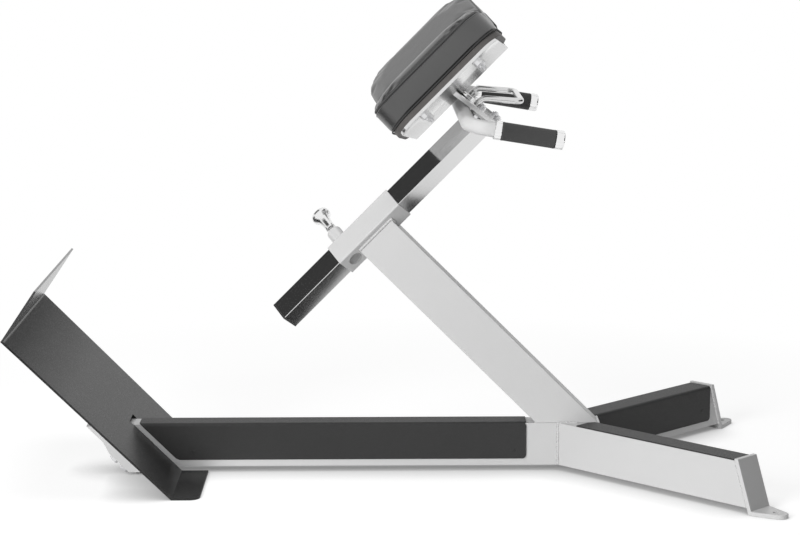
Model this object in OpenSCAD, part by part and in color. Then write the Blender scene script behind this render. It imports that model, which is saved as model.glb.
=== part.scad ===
/* [Frame] */
// Width of the beam, column and leg tubes
tube_w = 50; // [44:1:56]
// Height of the beam and leg tubes
beam_h = 83; // [76:1:90]
// Depth of the column tube
column_d = 85.4; // [76:1:92]
// Wall of the beam, column and leg tubes
tube_wall = 3; // [2:0.5:4]
// Height of the beam's underside above the floor
beam_clear = 12; // [12:0.5:16]
// Angle of the column, the post and the footplate to the floor
rake = 45; // [44:0.5:46]
// Distance along the rake from the frame's datum to the middle of the column
column_v = 292.2; // [286:1:300]
// Distance from the frame's datum to the crossing of the two leg axes
hub_x = 310.6; // [306:1:316]

/* [Legs] */
// Angle of each leg to the beam
leg_angle = 45; // [42:0.5:48]
// Reach of each leg along its axis to the foot of its end plate
leg_reach = 479; // [420:1:520]
// Lean of the leg end plates from upright
foot_lean = 19; // [10:1:25]
// Width of the leg end plates
foot_w = 57; // [56:1:66]
// Thickness of the leg end plates and their floor tabs
foot_t = 8; // [6:0.5:10]
// Rise of the leg end plates above the leg covers
foot_rise = 2; // [1:0.5:6]
// Length of each floor tab beyond its end plate
tab_len = 56; // [50:1:64]
// Radius of the round end of each floor tab
tab_r = 15; // [12:0.5:18]
// Radius of the anchor hole in each floor tab
anchor_r = 5.5; // [4:0.5:6.5]
// Distance from the end of each floor tab to its anchor hole
anchor_inset = 24; // [20:1:28]

/* [Covers] */
// Thickness of the sheet covers
cover_t = 2.5; // [1.5:0.5:3]
// Outside bend radius of the sheet covers
cover_bend = 6; // [4:0.5:8]
// Bare strip of tube below the sheet covers
cover_strip = 13; // [8:1:18]
// Gap between the beam cover and the footplate
cover_foot_gap = 8.9; // [6:0.5:14]
// Bare length of beam top between the beam cover and the column
cover_column_gap = 19; // [12:1:30]
// Radius of the cover's round corners
cover_corner = 8; // [4:1:12]
// Start of each leg cover along the leg
leg_cover_start = 57; // [52:1:62]
// Gap between each leg cover and its end plate
leg_cover_gap = 3; // [2:0.5:8]
// Head radius of the cover screws
screw_head_r = 3.2; // [2.6:0.2:4]
// Distance of the cover screws from the covers' lower edges
screw_rise = 16; // [12:1:20]

/* [Footplate] */
// Thickness of the footplate sheet
plate_t = 4; // [3:0.5:6]
// Distance along the rake from the datum to the face that the feet rest on
foot_v = -301.3; // [-304:0.5:-298]
// Length of the sloped face from the floor to the heel flange
foot_len = 427; // [380:1:450]
// Width of the footplate at the heel flange
foot_top_w = 500; // [440:2:520]
// Width of the footplate at the floor
foot_low_w = 468; // [420:2:500]
// Length of the heel flange
heel_len = 111; // [80:1:130]
// Lean of the heel flange past square
heel_lean = 10.8; // [0:0.5:15]
// Depth of the lip on the floor
lip_len = 53; // [40:1:60]
// Gap on each side of the beam in the footplate's slot
slot_gap = 2.5; // [2:0.5:5]
// Clearance of the slot's closed end above the beam
slot_end_gap = 8; // [6:1:14]

/* [Footplate bracket] */
// Distance from the footplate's underside to the cut end of the beam
beam_tail = 52.7; // [48:1:58]
// Thickness of the beam's end plate
tail_plate_t = 8; // [6:0.5:10]
// Thickness of the bracket's plates
bracket_t = 6; // [5:0.5:8]
// Width over the bracket's ribs
bracket_w = 90; // [88:1:100]
// Length of footplate that the bracket's ribs hold
rib_len = 327; // [280:1:380]
// Thickness of the rubber foot
rubber_t = 5; // [3:0.5:6]
// Spacing of the bracket bolts along the slope
tail_bolt_pitch = 26; // [24:1:30]
// Distance from the bracket bolts to the ribs beside them
tail_bolt_edge = 7; // [6:0.5:8]

/* [Sleeve and post] */
// Outside width of the sleeve tube
sleeve_w = 50; // [48:1:54]
// Wall of the sleeve tube
sleeve_wall = 2; // [1.5:0.5:3]
// Length of the sleeve
sleeve_len = 159.6; // [140:1:180]
// Offset of the sleeve's middle below the column's middle
sleeve_drop = 5.6; // [0:1:10]
// Distance down the rake from the datum to the axis of the post
post_u = 376.5; // [370:1:382]
// Wall of the plastic bushes in the sleeve
bush_wall = 1.2; // [1:0.1:1.6]
// Length of each bush
bush_len = 50; // [44:1:60]
// Sliding gap between the bushes and the post
slide_gap = 0.3; // [0.2:0.05:0.5]
// Wall of the post tube
post_wall = 3; // [2:0.5:4]
// Length of post below the sleeve
post_tail = 153.5; // [145:1:165]
// Height of the cap plate's top along the rake
cap_v = 609.2; // [604:1:616]
// Pitch of the index holes in the post
index_pitch = 30; // [30:1:30]
// Number of index holes on each side of the middle one
index_side = 4; // [2:1:4]

/* [Plunger] */
// Radius of the locking pin
pin_r = 6; // [5:0.5:7]
// Clearance of the locking pin in its holes
pin_gap = 0.3; // [0.2:0.05:0.5]
// Gap between the drawn pin's tip and the post
pin_rest_gap = 0.4; // [0.3:0.1:0.8]
// Height of the plunger above the sleeve's lower end
plunger_rise = 25.5; // [22:1:30]
// Radius of the plunger's housing
housing_r = 14.5; // [13:0.5:16]
// Length of the plunger's housing
housing_len = 38; // [34:1:44]
// Radius of the plunger knob's rim
knob_r = 17; // [15:0.5:20]
// Length of the plunger knob
knob_len = 48; // [44:1:56]
// Travel that the housing leaves for the knob
knob_gap = 8; // [7:0.5:10]
// Radius of the access hole opposite the plunger
access_r = 13.5; // [10:0.5:15]

/* [Head] */
// Turn of the head on the post
head_turn = 3; // [0:0.5:4]
// Tilt of the cap plate from square to the post
cap_tilt = 7.4; // [0:0.2:9]
// Thickness of the cap plate and of the post's flange
cap_t = 8; // [6:0.5:10]
// Width of the cap plate
cap_w = 170; // [166:2:180]
// Reach of the cap plate past the post's axis
cap_reach = 27; // [26:1:34]
// Bolt spacing on the cap plate along the tilt
cap_bolt_x = 36; // [35:0.5:38]
// Bolt spacing on the cap plate across the head
cap_bolt_y = 54; // [53:0.5:58]
// Distance from the post's axis to the fold of the pad plate
fold_x = 60; // [60:0.5:66]
// Fold of each half of the pad plate
fold_angle = 15; // [12:0.5:15]
// Thickness of the pad plate
pad_plate_t = 6; // [4:0.5:8]
// Width of each half of the pad plate
pad_plate_w = 215; // [205:1:225]
// Length of the pad plate
pad_plate_len = 246; // [230:1:260]
// Corner radius of the pad plate
pad_plate_r = 38; // [30:1:45]
// Height of the pads' middle along the rake
pad_v = 600; // [594:1:606]

/* [Pads] */
// Width of each pad
pad_w = 193; // [180:1:200]
// Length of the pads
pad_len = 276; // [262:1:290]
// Distance from the fold to each pad
pad_inset = 19; // [19:0.5:24]
// Height of the pads' upright side walls
pad_wall = 48; // [40:1:50]
// Height of the pads' sloping shoulders
pad_shoulder = 12; // [8:1:16]
// Inset of the pads' faces from their side walls
pad_slope = 14; // [10:1:20]
// Corner radius of the pads
pad_r = 60; // [50:1:70]
// Thickness of the plywood boards
board_t = 12; // [10:0.5:15]
// Inset of the boards from the pads' outline
board_inset = 5; // [3:0.5:8]
// Radius of the pad studs
stud_r = 4; // [3:0.5:5]
// Distance from the pad plate's edge to the outer studs
stud_inset = 17; // [15:1:22]
// Spacing of the studs across a pad
stud_pitch_y = 70; // [60:1:80]
// Spacing of the studs along a pad
stud_pitch_v = 136; // [120:1:150]

/* [Handles] */
// Radius of the handlebar tube
bar_r = 13.75; // [12:0.25:15]
// Wall of the handlebar tube
bar_wall = 2.5; // [2:0.5:3]
// Distance from the post's axis to the cross tube
bar_x = 44.9; // [44:0.5:45.5]
// Height of the cross tube along the rake
bar_v = 580; // [572:1:580]
// Spacing of the two grips
grip_span = 510; // [490:2:530]
// Bend radius of the handlebar
bar_bend = 38; // [32:1:44]
// Droop of the grips below level
bar_droop = 9.5; // [5:0.5:12]
// Radius of the rubber grips
grip_r = 17; // [16:0.25:19]
// Length of the rubber grips
grip_len = 99; // [90:0.5:110]
// Length of the metal collars in front of the grips
collar_len = 13; // [8:0.5:16]
// Length of the metal end caps of the grips
grip_cap_len = 16; // [12:0.5:20]
// Radius of the loop handle's rod
loop_r = 6; // [5:0.25:7]
// Spacing of the loop handle's legs
loop_w = 150; // [140:2:156]
// Distance from the post's axis to the loop handle's legs
loop_x = 37; // [32:1:42]
// Upright part of the loop handle's legs above the cap plate
loop_leg_len = 12.5; // [8:0.5:20]
// Straight part of the loop handle's arms
loop_arm_len = 49.5; // [40:0.5:70]
// Droop of the loop handle below level
loop_droop = 5; // [0:0.5:8]
// Bend radius of the loop handle
loop_bend = 16; // [12:1:20]

/* [Hidden] */
$fn = 48;

// Points of the raked frame: u runs down the slope, v runs up square to it
function level_u(v, z) = (v * cos(rake) - z) / sin(rake);
function raked_x(u, v) = u * cos(rake) + v * sin(rake);
function raked_z(u, v) = v * cos(rake) - u * sin(rake);
function x_on(v, z) = raked_x(level_u(v, z), v);
function to_xz(u, v) = [raked_x(u, v), raked_z(u, v)];
function at_z(v, z) = [x_on(v, z), z];

half_w = tube_w / 2;
beam_top = beam_clear + beam_h;
cover_top = beam_top + cover_t;
column_low_v = column_v - column_d / 2;
column_high_v = column_v + column_d / 2;
beam_right = x_on(column_high_v, beam_top);
column_left = x_on(column_low_v, beam_top);

plate_under_v = foot_v - plate_t;
foot_low_u = level_u(plate_under_v, 0);
foot_high_u = foot_low_u - foot_len;
tail_v = plate_under_v - beam_tail;
tail_plate_v = tail_v - tail_plate_t;
bracket_v = tail_plate_v - bracket_t;
slot_half = half_w + slot_gap;
slot_end_u = level_u(plate_under_v, beam_top) - slot_end_gap;

lean_run = tan(foot_lean);
foot_top = cover_top + foot_rise;
foot_in_run = foot_t / cos(foot_lean);
tab_end = leg_reach + tab_len;
tab_centre = tab_end - tab_r;
anchor_a = tab_end - anchor_inset;

x_min = raked_x(foot_high_u - plate_t, plate_under_v);
x_max = hub_x + tab_centre * cos(leg_angle) + tab_r;
centre_x = (x_min + x_max) / 2;

sleeve_mid_v = column_v - sleeve_drop;
sleeve_low_v = sleeve_mid_v - sleeve_len / 2;
sleeve_high_v = sleeve_mid_v + sleeve_len / 2;
sleeve_r = 3.5;
bolt_r = 4;
bolt_gap = 0.05;
hole_gap = 0.4;
nut_flats = 13;
nut_h = 6.5;
bolt_head_h = 5.3;
cut_long = 1200;
sleeve_inner_w = sleeve_w - 2 * sleeve_wall;
bush_inner_w = sleeve_inner_w - 2 * bush_wall;
post_w = bush_inner_w - 2 * slide_gap;
post_low_v = sleeve_low_v - post_tail;
post_r = 1;
bush_inset = 2;
end_cap_t = 4;
pin_v = sleeve_low_v + plunger_rise;
pin_tip = post_w / 2 + pin_rest_gap;
face_a = sleeve_w / 2;
housing_end = face_a + housing_len;
knob_a = housing_end + knob_gap;
spring_r = pin_r + 2.4;
spring_wire_r = 0.8;
spring_low = face_a + 13;
spring_high = housing_end - 4;

// Frames that the pieces are drawn in
module placed() {
    translate([-centre_x, 0, 0]) children();
}
module raked() {
    placed() rotate([0, rake, 0]) children();
}
module post_frame() {
    raked() translate([-post_u, 0, 0]) children();
}
module post_square() {
    post_frame() rotate([0, 0, 45]) children();
}
module plunger_frame() {
    post_frame() translate([0, 0, pin_v]) rotate([0, 0, 135]) rotate([0, 90, 0]) children();
}
module head_frame() {
    post_frame() rotate([0, 0, head_turn]) children();
}
module cap_frame() {
    head_frame() translate([0, 0, cap_v]) rotate([0, -cap_tilt, 0]) children();
}
module bar_frame() {
    head_frame() translate([-bar_x, 0, bar_v]) rotate([0, bar_droop - rake, 0]) children();
}
module leg_frame(side) {
    placed() translate([hub_x, 0, 0]) rotate([0, 0, side * leg_angle]) children();
}
module pad_frame(side) {
    head_frame() translate([-fold_x, 0, pad_v]) mirrored(side) rotate([0, 0, fold_angle]) children();
}
module mirrored(side) {
    if (side > 0) children();
    else mirror([0, 1, 0]) children();
}

// Shapes that several pieces share
module xz_prism(points, low_y, high_y) {
    translate([0, high_y, 0]) rotate([90, 0, 0]) linear_extrude(high_y - low_y) polygon(points);
}
module round_rect(w, h, r) {
    square([w - 2 * r, h], center = true);
    square([w, h - 2 * r], center = true);
    for (sx = [-1, 1], sy = [-1, 1]) {
        translate([sx * (w / 2 - r), sy * (h / 2 - r)]) circle(r);
    }
}
module square_tube(outer, inner, outer_r, inner_r, low, high) {
    translate([0, 0, low]) linear_extrude(high - low) difference() {
        round_rect(outer, outer, outer_r);
        round_rect(inner, inner, inner_r);
    }
}
module hex_bar(flats, h) {
    cylinder(h = h, r = flats / sqrt(3), $fn = 6);
}
module ring(outer, inner, h) {
    difference() {
        cylinder(h = h, r = outer);
        translate([0, 0, -1]) cylinder(h = h + 2, r = inner);
    }
}

// Beam, column and legs
function beam_side(trim, from_v) = [
    at_z(from_v, beam_clear + trim), [beam_right - trim, beam_clear + trim],
    [beam_right - trim, beam_top - trim], at_z(from_v, beam_top - trim)
];
module main_beam() {
    color("silver") placed() difference() {
        xz_prism(beam_side(0, tail_v), -half_w, half_w);
        xz_prism(beam_side(tube_wall, tail_v - tube_w), tube_wall - half_w, half_w - tube_wall);
        for (x = beam_screw_x) screw_hole_pair(x);
    }
}

screw_z = beam_clear + cover_strip + screw_rise;
screw_r = 2;
screw_gap = 0.1;
cover_left = x_on(foot_v + cover_foot_gap, cover_top);
cover_right = column_left - cover_column_gap;
beam_screw_x = [x_on(foot_v + cover_foot_gap, screw_z) + 48, cover_right - 24];
module screw_hole_pair(x) {
    translate([x, tube_w, screw_z]) rotate([90, 0, 0]) cylinder(h = 2 * tube_w, r = screw_r + screw_gap);
}

function tail_plate_side() = [
    at_z(tail_v, beam_clear), at_z(tail_v, beam_top),
    at_z(tail_plate_v, beam_top), at_z(tail_plate_v, beam_clear)
];
tail_bolt_r = 5;
tail_bolt_span = bracket_w - 2 * bracket_t - 2 * tail_bolt_edge;
tail_bolt_low_u = level_u(bracket_v, rubber_t) - 12;
bracket_high_u = tail_bolt_low_u - tail_bolt_pitch - 15;
module at_tail_bolts() {
    for (i = [0, 1], sy = [-1, 1]) {
        raked() translate([tail_bolt_low_u - i * tail_bolt_pitch, sy * tail_bolt_span / 2, 0]) children();
    }
}
tail_half = bracket_w / 2 - bracket_t - 0.5;
module beam_end_plate() {
    color("silver") difference() {
        placed() xz_prism(tail_plate_side(), -tail_half, tail_half);
        at_tail_bolts() translate([0, 0, bracket_v]) cylinder(h = tube_w, r = tail_bolt_r + bolt_gap);
    }
}

module column_body(trim, low, high) {
    translate([-post_u, trim - half_w, low]) cube([post_u * 3, tube_w - 2 * trim, high - low]);
}
module column() {
    color("silver") difference() {
        raked() difference() {
            column_body(0, column_low_v, column_high_v);
            column_body(tube_wall, column_low_v + tube_wall, column_high_v - tube_wall);
        }
        placed() translate([-cut_long, -tube_w, -cut_long])
            cube([3 * cut_long, 2 * tube_w, cut_long + beam_top]);
        post_square() translate([-face_a, -face_a, 0]) cube([sleeve_w, sleeve_w, cut_long]);
        post_frame() translate([-cut_long, -tube_w, 0]) cube([cut_long, 2 * tube_w, cut_long]);
    }
}

function foot_face_a(z) = leg_reach - z * lean_run;
function leg_side(trim, past) = [
    [0, beam_clear + trim],
    [foot_face_a(beam_clear + trim) - foot_in_run + past, beam_clear + trim],
    [foot_face_a(beam_top - trim) - foot_in_run + past, beam_top - trim],
    [0, beam_top - trim]
];
module beam_gap_block() {
    placed() translate([0, -half_w, 0]) cube([cut_long, tube_w, 2 * beam_top]);
}
leg_screw_a = foot_face_a(beam_top) - 38;
leg_screw_z = screw_z + 8;
module leg(side) {
    difference() {
        leg_frame(side) difference() {
            xz_prism(leg_side(0, 0), -half_w, half_w);
            xz_prism(leg_side(tube_wall, foot_in_run), tube_wall - half_w, half_w - tube_wall);
            leg_screw_hole(side);
        }
        beam_gap_block();
        placed() translate([0, side > 0 ? -cut_long : 0, 0]) cube([cut_long, cut_long, 2 * beam_top]);
    }
}
module leg_screw_hole(side) {
    translate([leg_screw_a, 0, leg_screw_z]) rotate([side * 90, 0, 0])
        cylinder(h = tube_w, r = screw_r + screw_gap);
}
module leg_left() {
    color("silver") leg(1);
}
module leg_right() {
    color("silver") leg(-1);
}

tab_neck = leg_reach;
tab_dist = sqrt(pow(tab_centre - tab_neck, 2) + pow(foot_w / 2, 2));
tab_turn = atan2(foot_w / 2, tab_neck - tab_centre) - acos(tab_r / tab_dist);
tab_touch = [tab_centre + tab_r * cos(tab_turn), tab_r * sin(tab_turn)];
module leg_foot(side) {
    leg_frame(side) difference() {
        union() {
            xz_prism([
                [foot_face_a(0) - foot_in_run, 0], [foot_face_a(0), 0],
                [foot_face_a(foot_top), foot_top], [foot_face_a(foot_top) - foot_in_run, foot_top]
            ], -foot_w / 2, foot_w / 2);
            linear_extrude(foot_t) union() {
                polygon([
                    [tab_neck - foot_in_run, -foot_w / 2], [tab_neck, -foot_w / 2],
                    [tab_touch[0], -tab_touch[1]], [tab_centre, 0], tab_touch,
                    [tab_neck, foot_w / 2], [tab_neck - foot_in_run, foot_w / 2]
                ]);
                translate([tab_centre, 0]) circle(tab_r);
            }
        }
        translate([anchor_a, 0, -1]) cylinder(h = foot_t + 2, r = anchor_r);
    }
}
module leg_foot_left() {
    color("silver") leg_foot(1);
}
module leg_foot_right() {
    color("silver") leg_foot(-1);
}

// Sheet covers
function corner(x, z, r, from, to) = [
    for (i = [0:6]) [x + r * cos(from + (to - from) * i / 6), z + r * sin(from + (to - from) * i / 6)]
];
cover_low = beam_clear + cover_strip;
cover_half = half_w + cover_t;
function beam_cover_side() = concat(
    [[cover_left - 20, cover_top + 20]],
    [at_z(foot_v + cover_foot_gap, cover_top)],
    [at_z(foot_v + cover_foot_gap, cover_low + 3), [x_on(foot_v + cover_foot_gap, cover_low) + 4, cover_low]],
    corner(cover_right - cover_corner, cover_low + cover_corner, cover_corner, -90, 0),
    corner(cover_right - cover_corner, cover_top - cover_corner, cover_corner, 0, 45),
    [[cover_right, cover_top - 1], [cover_right, cover_top + 20]]
);
module cover_arch(length) {
    rotate([90, 0, 90]) linear_extrude(length) difference() {
        translate([0, cover_top - 100]) round_rect(2 * cover_half, 200, cover_bend);
        translate([0, beam_top - 100]) round_rect(tube_w, 200, 0.01);
    }
}
module beam_cover() {
    color("#484848") placed() difference() {
        intersection() {
            translate([cover_left - 200, 0, 0]) cover_arch(cover_right - cover_left + 200);
            xz_prism(beam_cover_side(), -tube_w, tube_w);
        }
        for (x = beam_screw_x) screw_hole_pair(x);
    }
}

leg_cover_end = foot_face_a(cover_top) - foot_in_run - leg_cover_gap;
function leg_cover_plan() = [
    [leg_cover_start, 1 - half_w], [leg_cover_start, 10], [leg_cover_start + 10, cover_half],
    [leg_cover_end, cover_half], [leg_cover_end, 1 - half_w]
];
function leg_cover_side() = concat(
    [[leg_cover_start + 10, cover_top], [leg_cover_start + 10, cover_low]],
    corner(leg_cover_end - cover_corner, cover_low + cover_corner, cover_corner, -90, 0),
    [[leg_cover_end, cover_top]]
);
module leg_cover(side) {
    leg_frame(side) mirrored(-side) difference() {
        intersection() {
            union() {
                translate([0, 0, beam_top]) linear_extrude(cover_t) polygon(leg_cover_plan());
                xz_prism(leg_cover_side(), half_w, cover_half);
            }
            translate([0, cover_half - tube_w, 0]) rotate([90, 0, 90]) linear_extrude(leg_cover_end)
                translate([0, cover_top - 100]) round_rect(2 * tube_w, 200, cover_bend);
        }
        leg_screw_hole(-1);
    }
}
module leg_cover_left() {
    color("#484848") leg_cover(1);
}
module leg_cover_right() {
    color("#484848") leg_cover(-1);
}
module cover_screw() {
    translate([0, 0, cover_t]) cylinder(h = 1, r = screw_head_r);
    translate([0, 0, -tube_wall]) cylinder(h = tube_wall + cover_t, r = screw_r);
}
module cover_screws() {
    color("#303030") {
        for (x = beam_screw_x, side = [-1, 1]) {
            placed() translate([x, side * half_w, screw_z]) rotate([-side * 90, 0, 0]) cover_screw();
        }
        for (side = [-1, 1]) {
            leg_frame(side) translate([leg_screw_a, -side * half_w, leg_screw_z])
                rotate([side * 90, 0, 0]) cover_screw();
        }
    }
}

// Footplate and the bracket that holds it
lip_sheet = 80;
lip_r = 20;
module footplate() {
    color("#505050") difference() {
        union() {
            raked() translate([0, 0, plate_under_v]) linear_extrude(plate_t) polygon([
                [foot_low_u, -foot_low_w / 2], [foot_low_u, foot_low_w / 2],
                [foot_high_u, foot_top_w / 2], [foot_high_u - plate_t, foot_top_w / 2],
                [foot_high_u - plate_t, -foot_top_w / 2], [foot_high_u, -foot_top_w / 2]
            ]);
            raked() translate([foot_high_u, 0, foot_v]) rotate([0, -heel_lean, 0])
                translate([-plate_t, 0, (heel_len - plate_t) / 2]) rotate([90, 0, 90])
                    linear_extrude(plate_t) round_rect(foot_top_w, heel_len + plate_t, 2);
            placed() translate([x_on(plate_under_v, 0) + lip_len - lip_sheet / 2, 0, 0])
                linear_extrude(plate_t) union() {
                    round_rect(lip_sheet, foot_low_w, lip_r);
                    translate([lip_len / -2, 0]) square([lip_sheet - lip_len, foot_low_w], center = true);
                }
        }
        placed() translate([x_on(plate_under_v, 0) - 100, -foot_top_w, -1]) cube([100, 2 * foot_top_w, 1]);
        footplate_slot();
        lip_trim();
    }
}
module footplate_slot() {
    raked() translate([slot_end_u, -slot_half, plate_under_v - 1]) cube([200, 2 * slot_half, plate_t + 2]);
    placed() translate([x_on(plate_under_v, 0) - 20, -slot_half, -1]) cube([200, 2 * slot_half, plate_t + 2]);
}
module lip_trim() {
    raked() translate([foot_low_u - 200, -foot_top_w, plate_under_v - 100]) cube([240, 2 * foot_top_w, 100]);
}

function rib_side() = [
    to_xz(foot_low_u - rib_len, plate_under_v), to_xz(bracket_high_u, bracket_v),
    at_z(bracket_v, rubber_t), at_z(plate_under_v, rubber_t)
];
function bracket_base_side() = [
    at_z(bracket_v, rubber_t), to_xz(bracket_high_u, bracket_v),
    to_xz(bracket_high_u, tail_plate_v), at_z(tail_plate_v, rubber_t)
];
sole_len = 60;
sole_right = x_on(tail_plate_v, beam_clear) + sole_len;
function bracket_sole_side() = [
    at_z(tail_plate_v, rubber_t), at_z(tail_plate_v, beam_clear),
    [sole_right, beam_clear], [sole_right, rubber_t]
];
module footplate_bracket() {
    color("silver") difference() {
        placed() {
            for (side = [-1, 1]) {
                xz_prism(rib_side(), side * (bracket_w - bracket_t) / 2 - bracket_t / 2,
                    side * (bracket_w - bracket_t) / 2 + bracket_t / 2);
            }
            xz_prism(bracket_base_side(), bracket_t - bracket_w / 2, bracket_w / 2 - bracket_t);
            xz_prism(bracket_sole_side(), bracket_t - bracket_w / 2, bracket_w / 2 - bracket_t);
        }
        at_tail_bolts() translate([0, 0, bracket_v - 1])
            cylinder(h = bracket_t + 2, r = tail_bolt_r + hole_gap);
    }
}
tail_flats = 17;
tail_head_h = 6.5;
tail_bolt_len = tail_head_h / 2 + bracket_t + tail_plate_t + 4;
module bracket_bolts() {
    color("silver") at_tail_bolts() {
        translate([0, 0, bracket_v - tail_head_h]) hex_bar(tail_flats, tail_head_h);
        translate([0, 0, bracket_v - tail_head_h / 2]) cylinder(h = tail_bolt_len, r = tail_bolt_r);
    }
}
rubber_len = 46;
rubber_w = 68;
module rubber_foot() {
    color("#303030") placed() translate([x_on(tail_plate_v, rubber_t) + 4, -rubber_w / 2, 0])
        cube([rubber_len, rubber_w, rubber_t]);
}

// Sleeve, bushes and post
module sleeve_holes(r_pin, r_access) {
    plunger_frame() cylinder(h = 60, r = r_pin);
    plunger_frame() mirror([0, 0, 1]) cylinder(h = 60, r = r_access);
}
nose_r = pin_r + 2;
module post_sleeve() {
    color("silver") difference() {
        post_square() square_tube(
            sleeve_w, sleeve_inner_w, sleeve_r, sleeve_r - sleeve_wall, sleeve_low_v, sleeve_high_v
        );
        sleeve_holes(nose_r, access_r);
    }
}
module bush(low, high) {
    post_square() square_tube(sleeve_inner_w, bush_inner_w, sleeve_r - sleeve_wall, 0.6, low, high);
}
module bush_upper() {
    color("#202020") bush(sleeve_high_v - bush_inset - bush_len, sleeve_high_v - bush_inset);
}
module bush_lower() {
    color("#202020") difference() {
        bush(sleeve_low_v + bush_inset, sleeve_low_v + bush_inset + bush_len);
        plunger_frame() cylinder(h = 60, r = pin_r + pin_gap);
    }
}
plug_inset = 0.6;
module access_plug() {
    color("#909090") plunger_frame() translate([0, 0, plug_inset - face_a])
        cylinder(h = sleeve_wall - plug_inset, r = access_r - 0.1);
}
module inner_post() {
    color("#a0a0a0") difference() {
        post_square()
            square_tube(post_w, post_w - 2 * post_wall, post_r, 0.5, post_low_v + end_cap_t, cap_v + post_w);
        for (i = [-index_side:index_side]) {
            post_frame() translate([0, 0, pin_v + i * index_pitch]) rotate([0, 0, 135]) rotate([0, 90, 0])
                cylinder(h = 60, r = pin_r + pin_gap);
        }
        cap_frame() translate([-cap_w / 2, -cap_w / 2, -2 * cap_t]) cube(cap_w);
    }
}
module post_end_cap() {
    color("#202020") post_square() {
        translate([0, 0, post_low_v]) linear_extrude(end_cap_t) round_rect(post_w, post_w, post_r);
        translate([0, 0, post_low_v]) linear_extrude(end_cap_t + 18)
            round_rect(post_w - 2 * post_wall - 0.2, post_w - 2 * post_wall - 0.2, 0.5);
    }
}

// Spring-loaded locking plunger
module plunger_housing() {
    color("silver") plunger_frame() difference() {
        rotate_extrude() polygon([
            [0, face_a - sleeve_wall], [nose_r - 0.1, face_a - sleeve_wall], [nose_r - 0.1, face_a],
            [housing_r, face_a], [housing_r, housing_end - 3], [housing_r - 3, housing_end], [0, housing_end]
        ]);
        cylinder(h = 100, r = pin_r + 0.2);
        translate([0, 0, face_a + 3]) cylinder(h = spring_high - face_a - 3, r = spring_r + 1.6);
    }
}
module plunger_pin() {
    color("silver") plunger_frame() {
        translate([0, 0, pin_tip]) cylinder(h = knob_a + 20 - pin_tip, r = pin_r);
        translate([0, 0, spring_low - 3]) cylinder(h = 3, r = spring_r + 1.3);
    }
}
spring_turns = 5;
spring_sides = 6;
spring_steps = 12;
spring_rings = spring_turns * spring_steps;
function spring_point(i, k) =
    let (turn = 360 * i / spring_steps, lift = spring_low + spring_wire_r +
         (spring_high - spring_low - 2 * spring_wire_r) * i / spring_rings,
         r = spring_r + spring_wire_r * cos(360 * k / spring_sides))
    [r * cos(turn), r * sin(turn), lift + spring_wire_r * sin(360 * k / spring_sides)];
module plunger_spring() {
    color("silver") plunger_frame() polyhedron(
        points = [for (i = [0:spring_rings], k = [0:spring_sides - 1]) spring_point(i, k)],
        faces = concat(
            [[for (k = [0:spring_sides - 1]) k]],
            [for (i = [0:spring_rings - 1], k = [0:spring_sides - 1]) [
                i * spring_sides + k, (i + 1) * spring_sides + k,
                (i + 1) * spring_sides + (k + 1) % spring_sides, i * spring_sides + (k + 1) % spring_sides
            ]],
            [[for (k = [0:spring_sides - 1]) (spring_rings + 1) * spring_sides - 1 - k]]
        )
    );
}
module plunger_knob() {
    color("silver") plunger_frame() difference() {
        translate([0, 0, knob_a]) rotate_extrude() polygon([
            [0, 0], [pin_r + 1.5, 0], [pin_r + 2, 12], [pin_r + 3.6, 22], [knob_r - 4, 32],
            [knob_r, 37], [knob_r, knob_len - 5], [knob_r - 4, knob_len], [0, knob_len]
        ]);
        cylinder(h = knob_a + 20, r = pin_r);
    }
}

// Flange, cap plate and their fasteners
module at_cap_bolts() {
    cap_frame() for (sx = [-1, 1], sy = [-1, 1]) {
        translate([sx * cap_bolt_x / 2, sy * cap_bolt_y / 2, 0]) children();
    }
}
cap_back = 120;
cap_r = 10;
module post_flange() {
    color("silver") difference() {
        cap_frame() translate([0, 0, -2 * cap_t]) linear_extrude(cap_t)
            round_rect(2 * cap_reach, cap_bolt_y + 24, 6);
        at_cap_bolts() translate([0, 0, -3 * cap_t]) cylinder(h = 3 * cap_t, r = bolt_r + hole_gap);
    }
}
module cap_plate() {
    color("silver") difference() {
        cap_frame() translate([0, 0, -cap_t]) linear_extrude(cap_t) union() {
            translate([(cap_reach - cap_back) / 2, 0]) round_rect(cap_back + cap_reach, cap_w, cap_r);
        }
        at_cap_bolts() translate([0, 0, -2 * cap_t]) cylinder(h = 3 * cap_t, r = bolt_r + hole_gap);
        for (side = [-1, 1]) {
            pad_frame(side) translate([-100, -60, -150]) cube([100, 400, 300]);
        }
    }
}
cap_bolt_len = bolt_head_h / 2 + 2 * cap_t + 9;
module cap_bolts() {
    color("silver") at_cap_bolts() {
        translate([0, 0, -2 * cap_t - bolt_head_h]) hex_bar(nut_flats, bolt_head_h);
        translate([0, 0, -2 * cap_t - bolt_head_h / 2]) cylinder(h = cap_bolt_len, r = bolt_r);
    }
}
module cap_nuts() {
    color("silver") at_cap_bolts() difference() {
        hex_bar(nut_flats, nut_h);
        translate([0, 0, -1]) cylinder(h = nut_h + 2, r = bolt_r + bolt_gap);
    }
}

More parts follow.
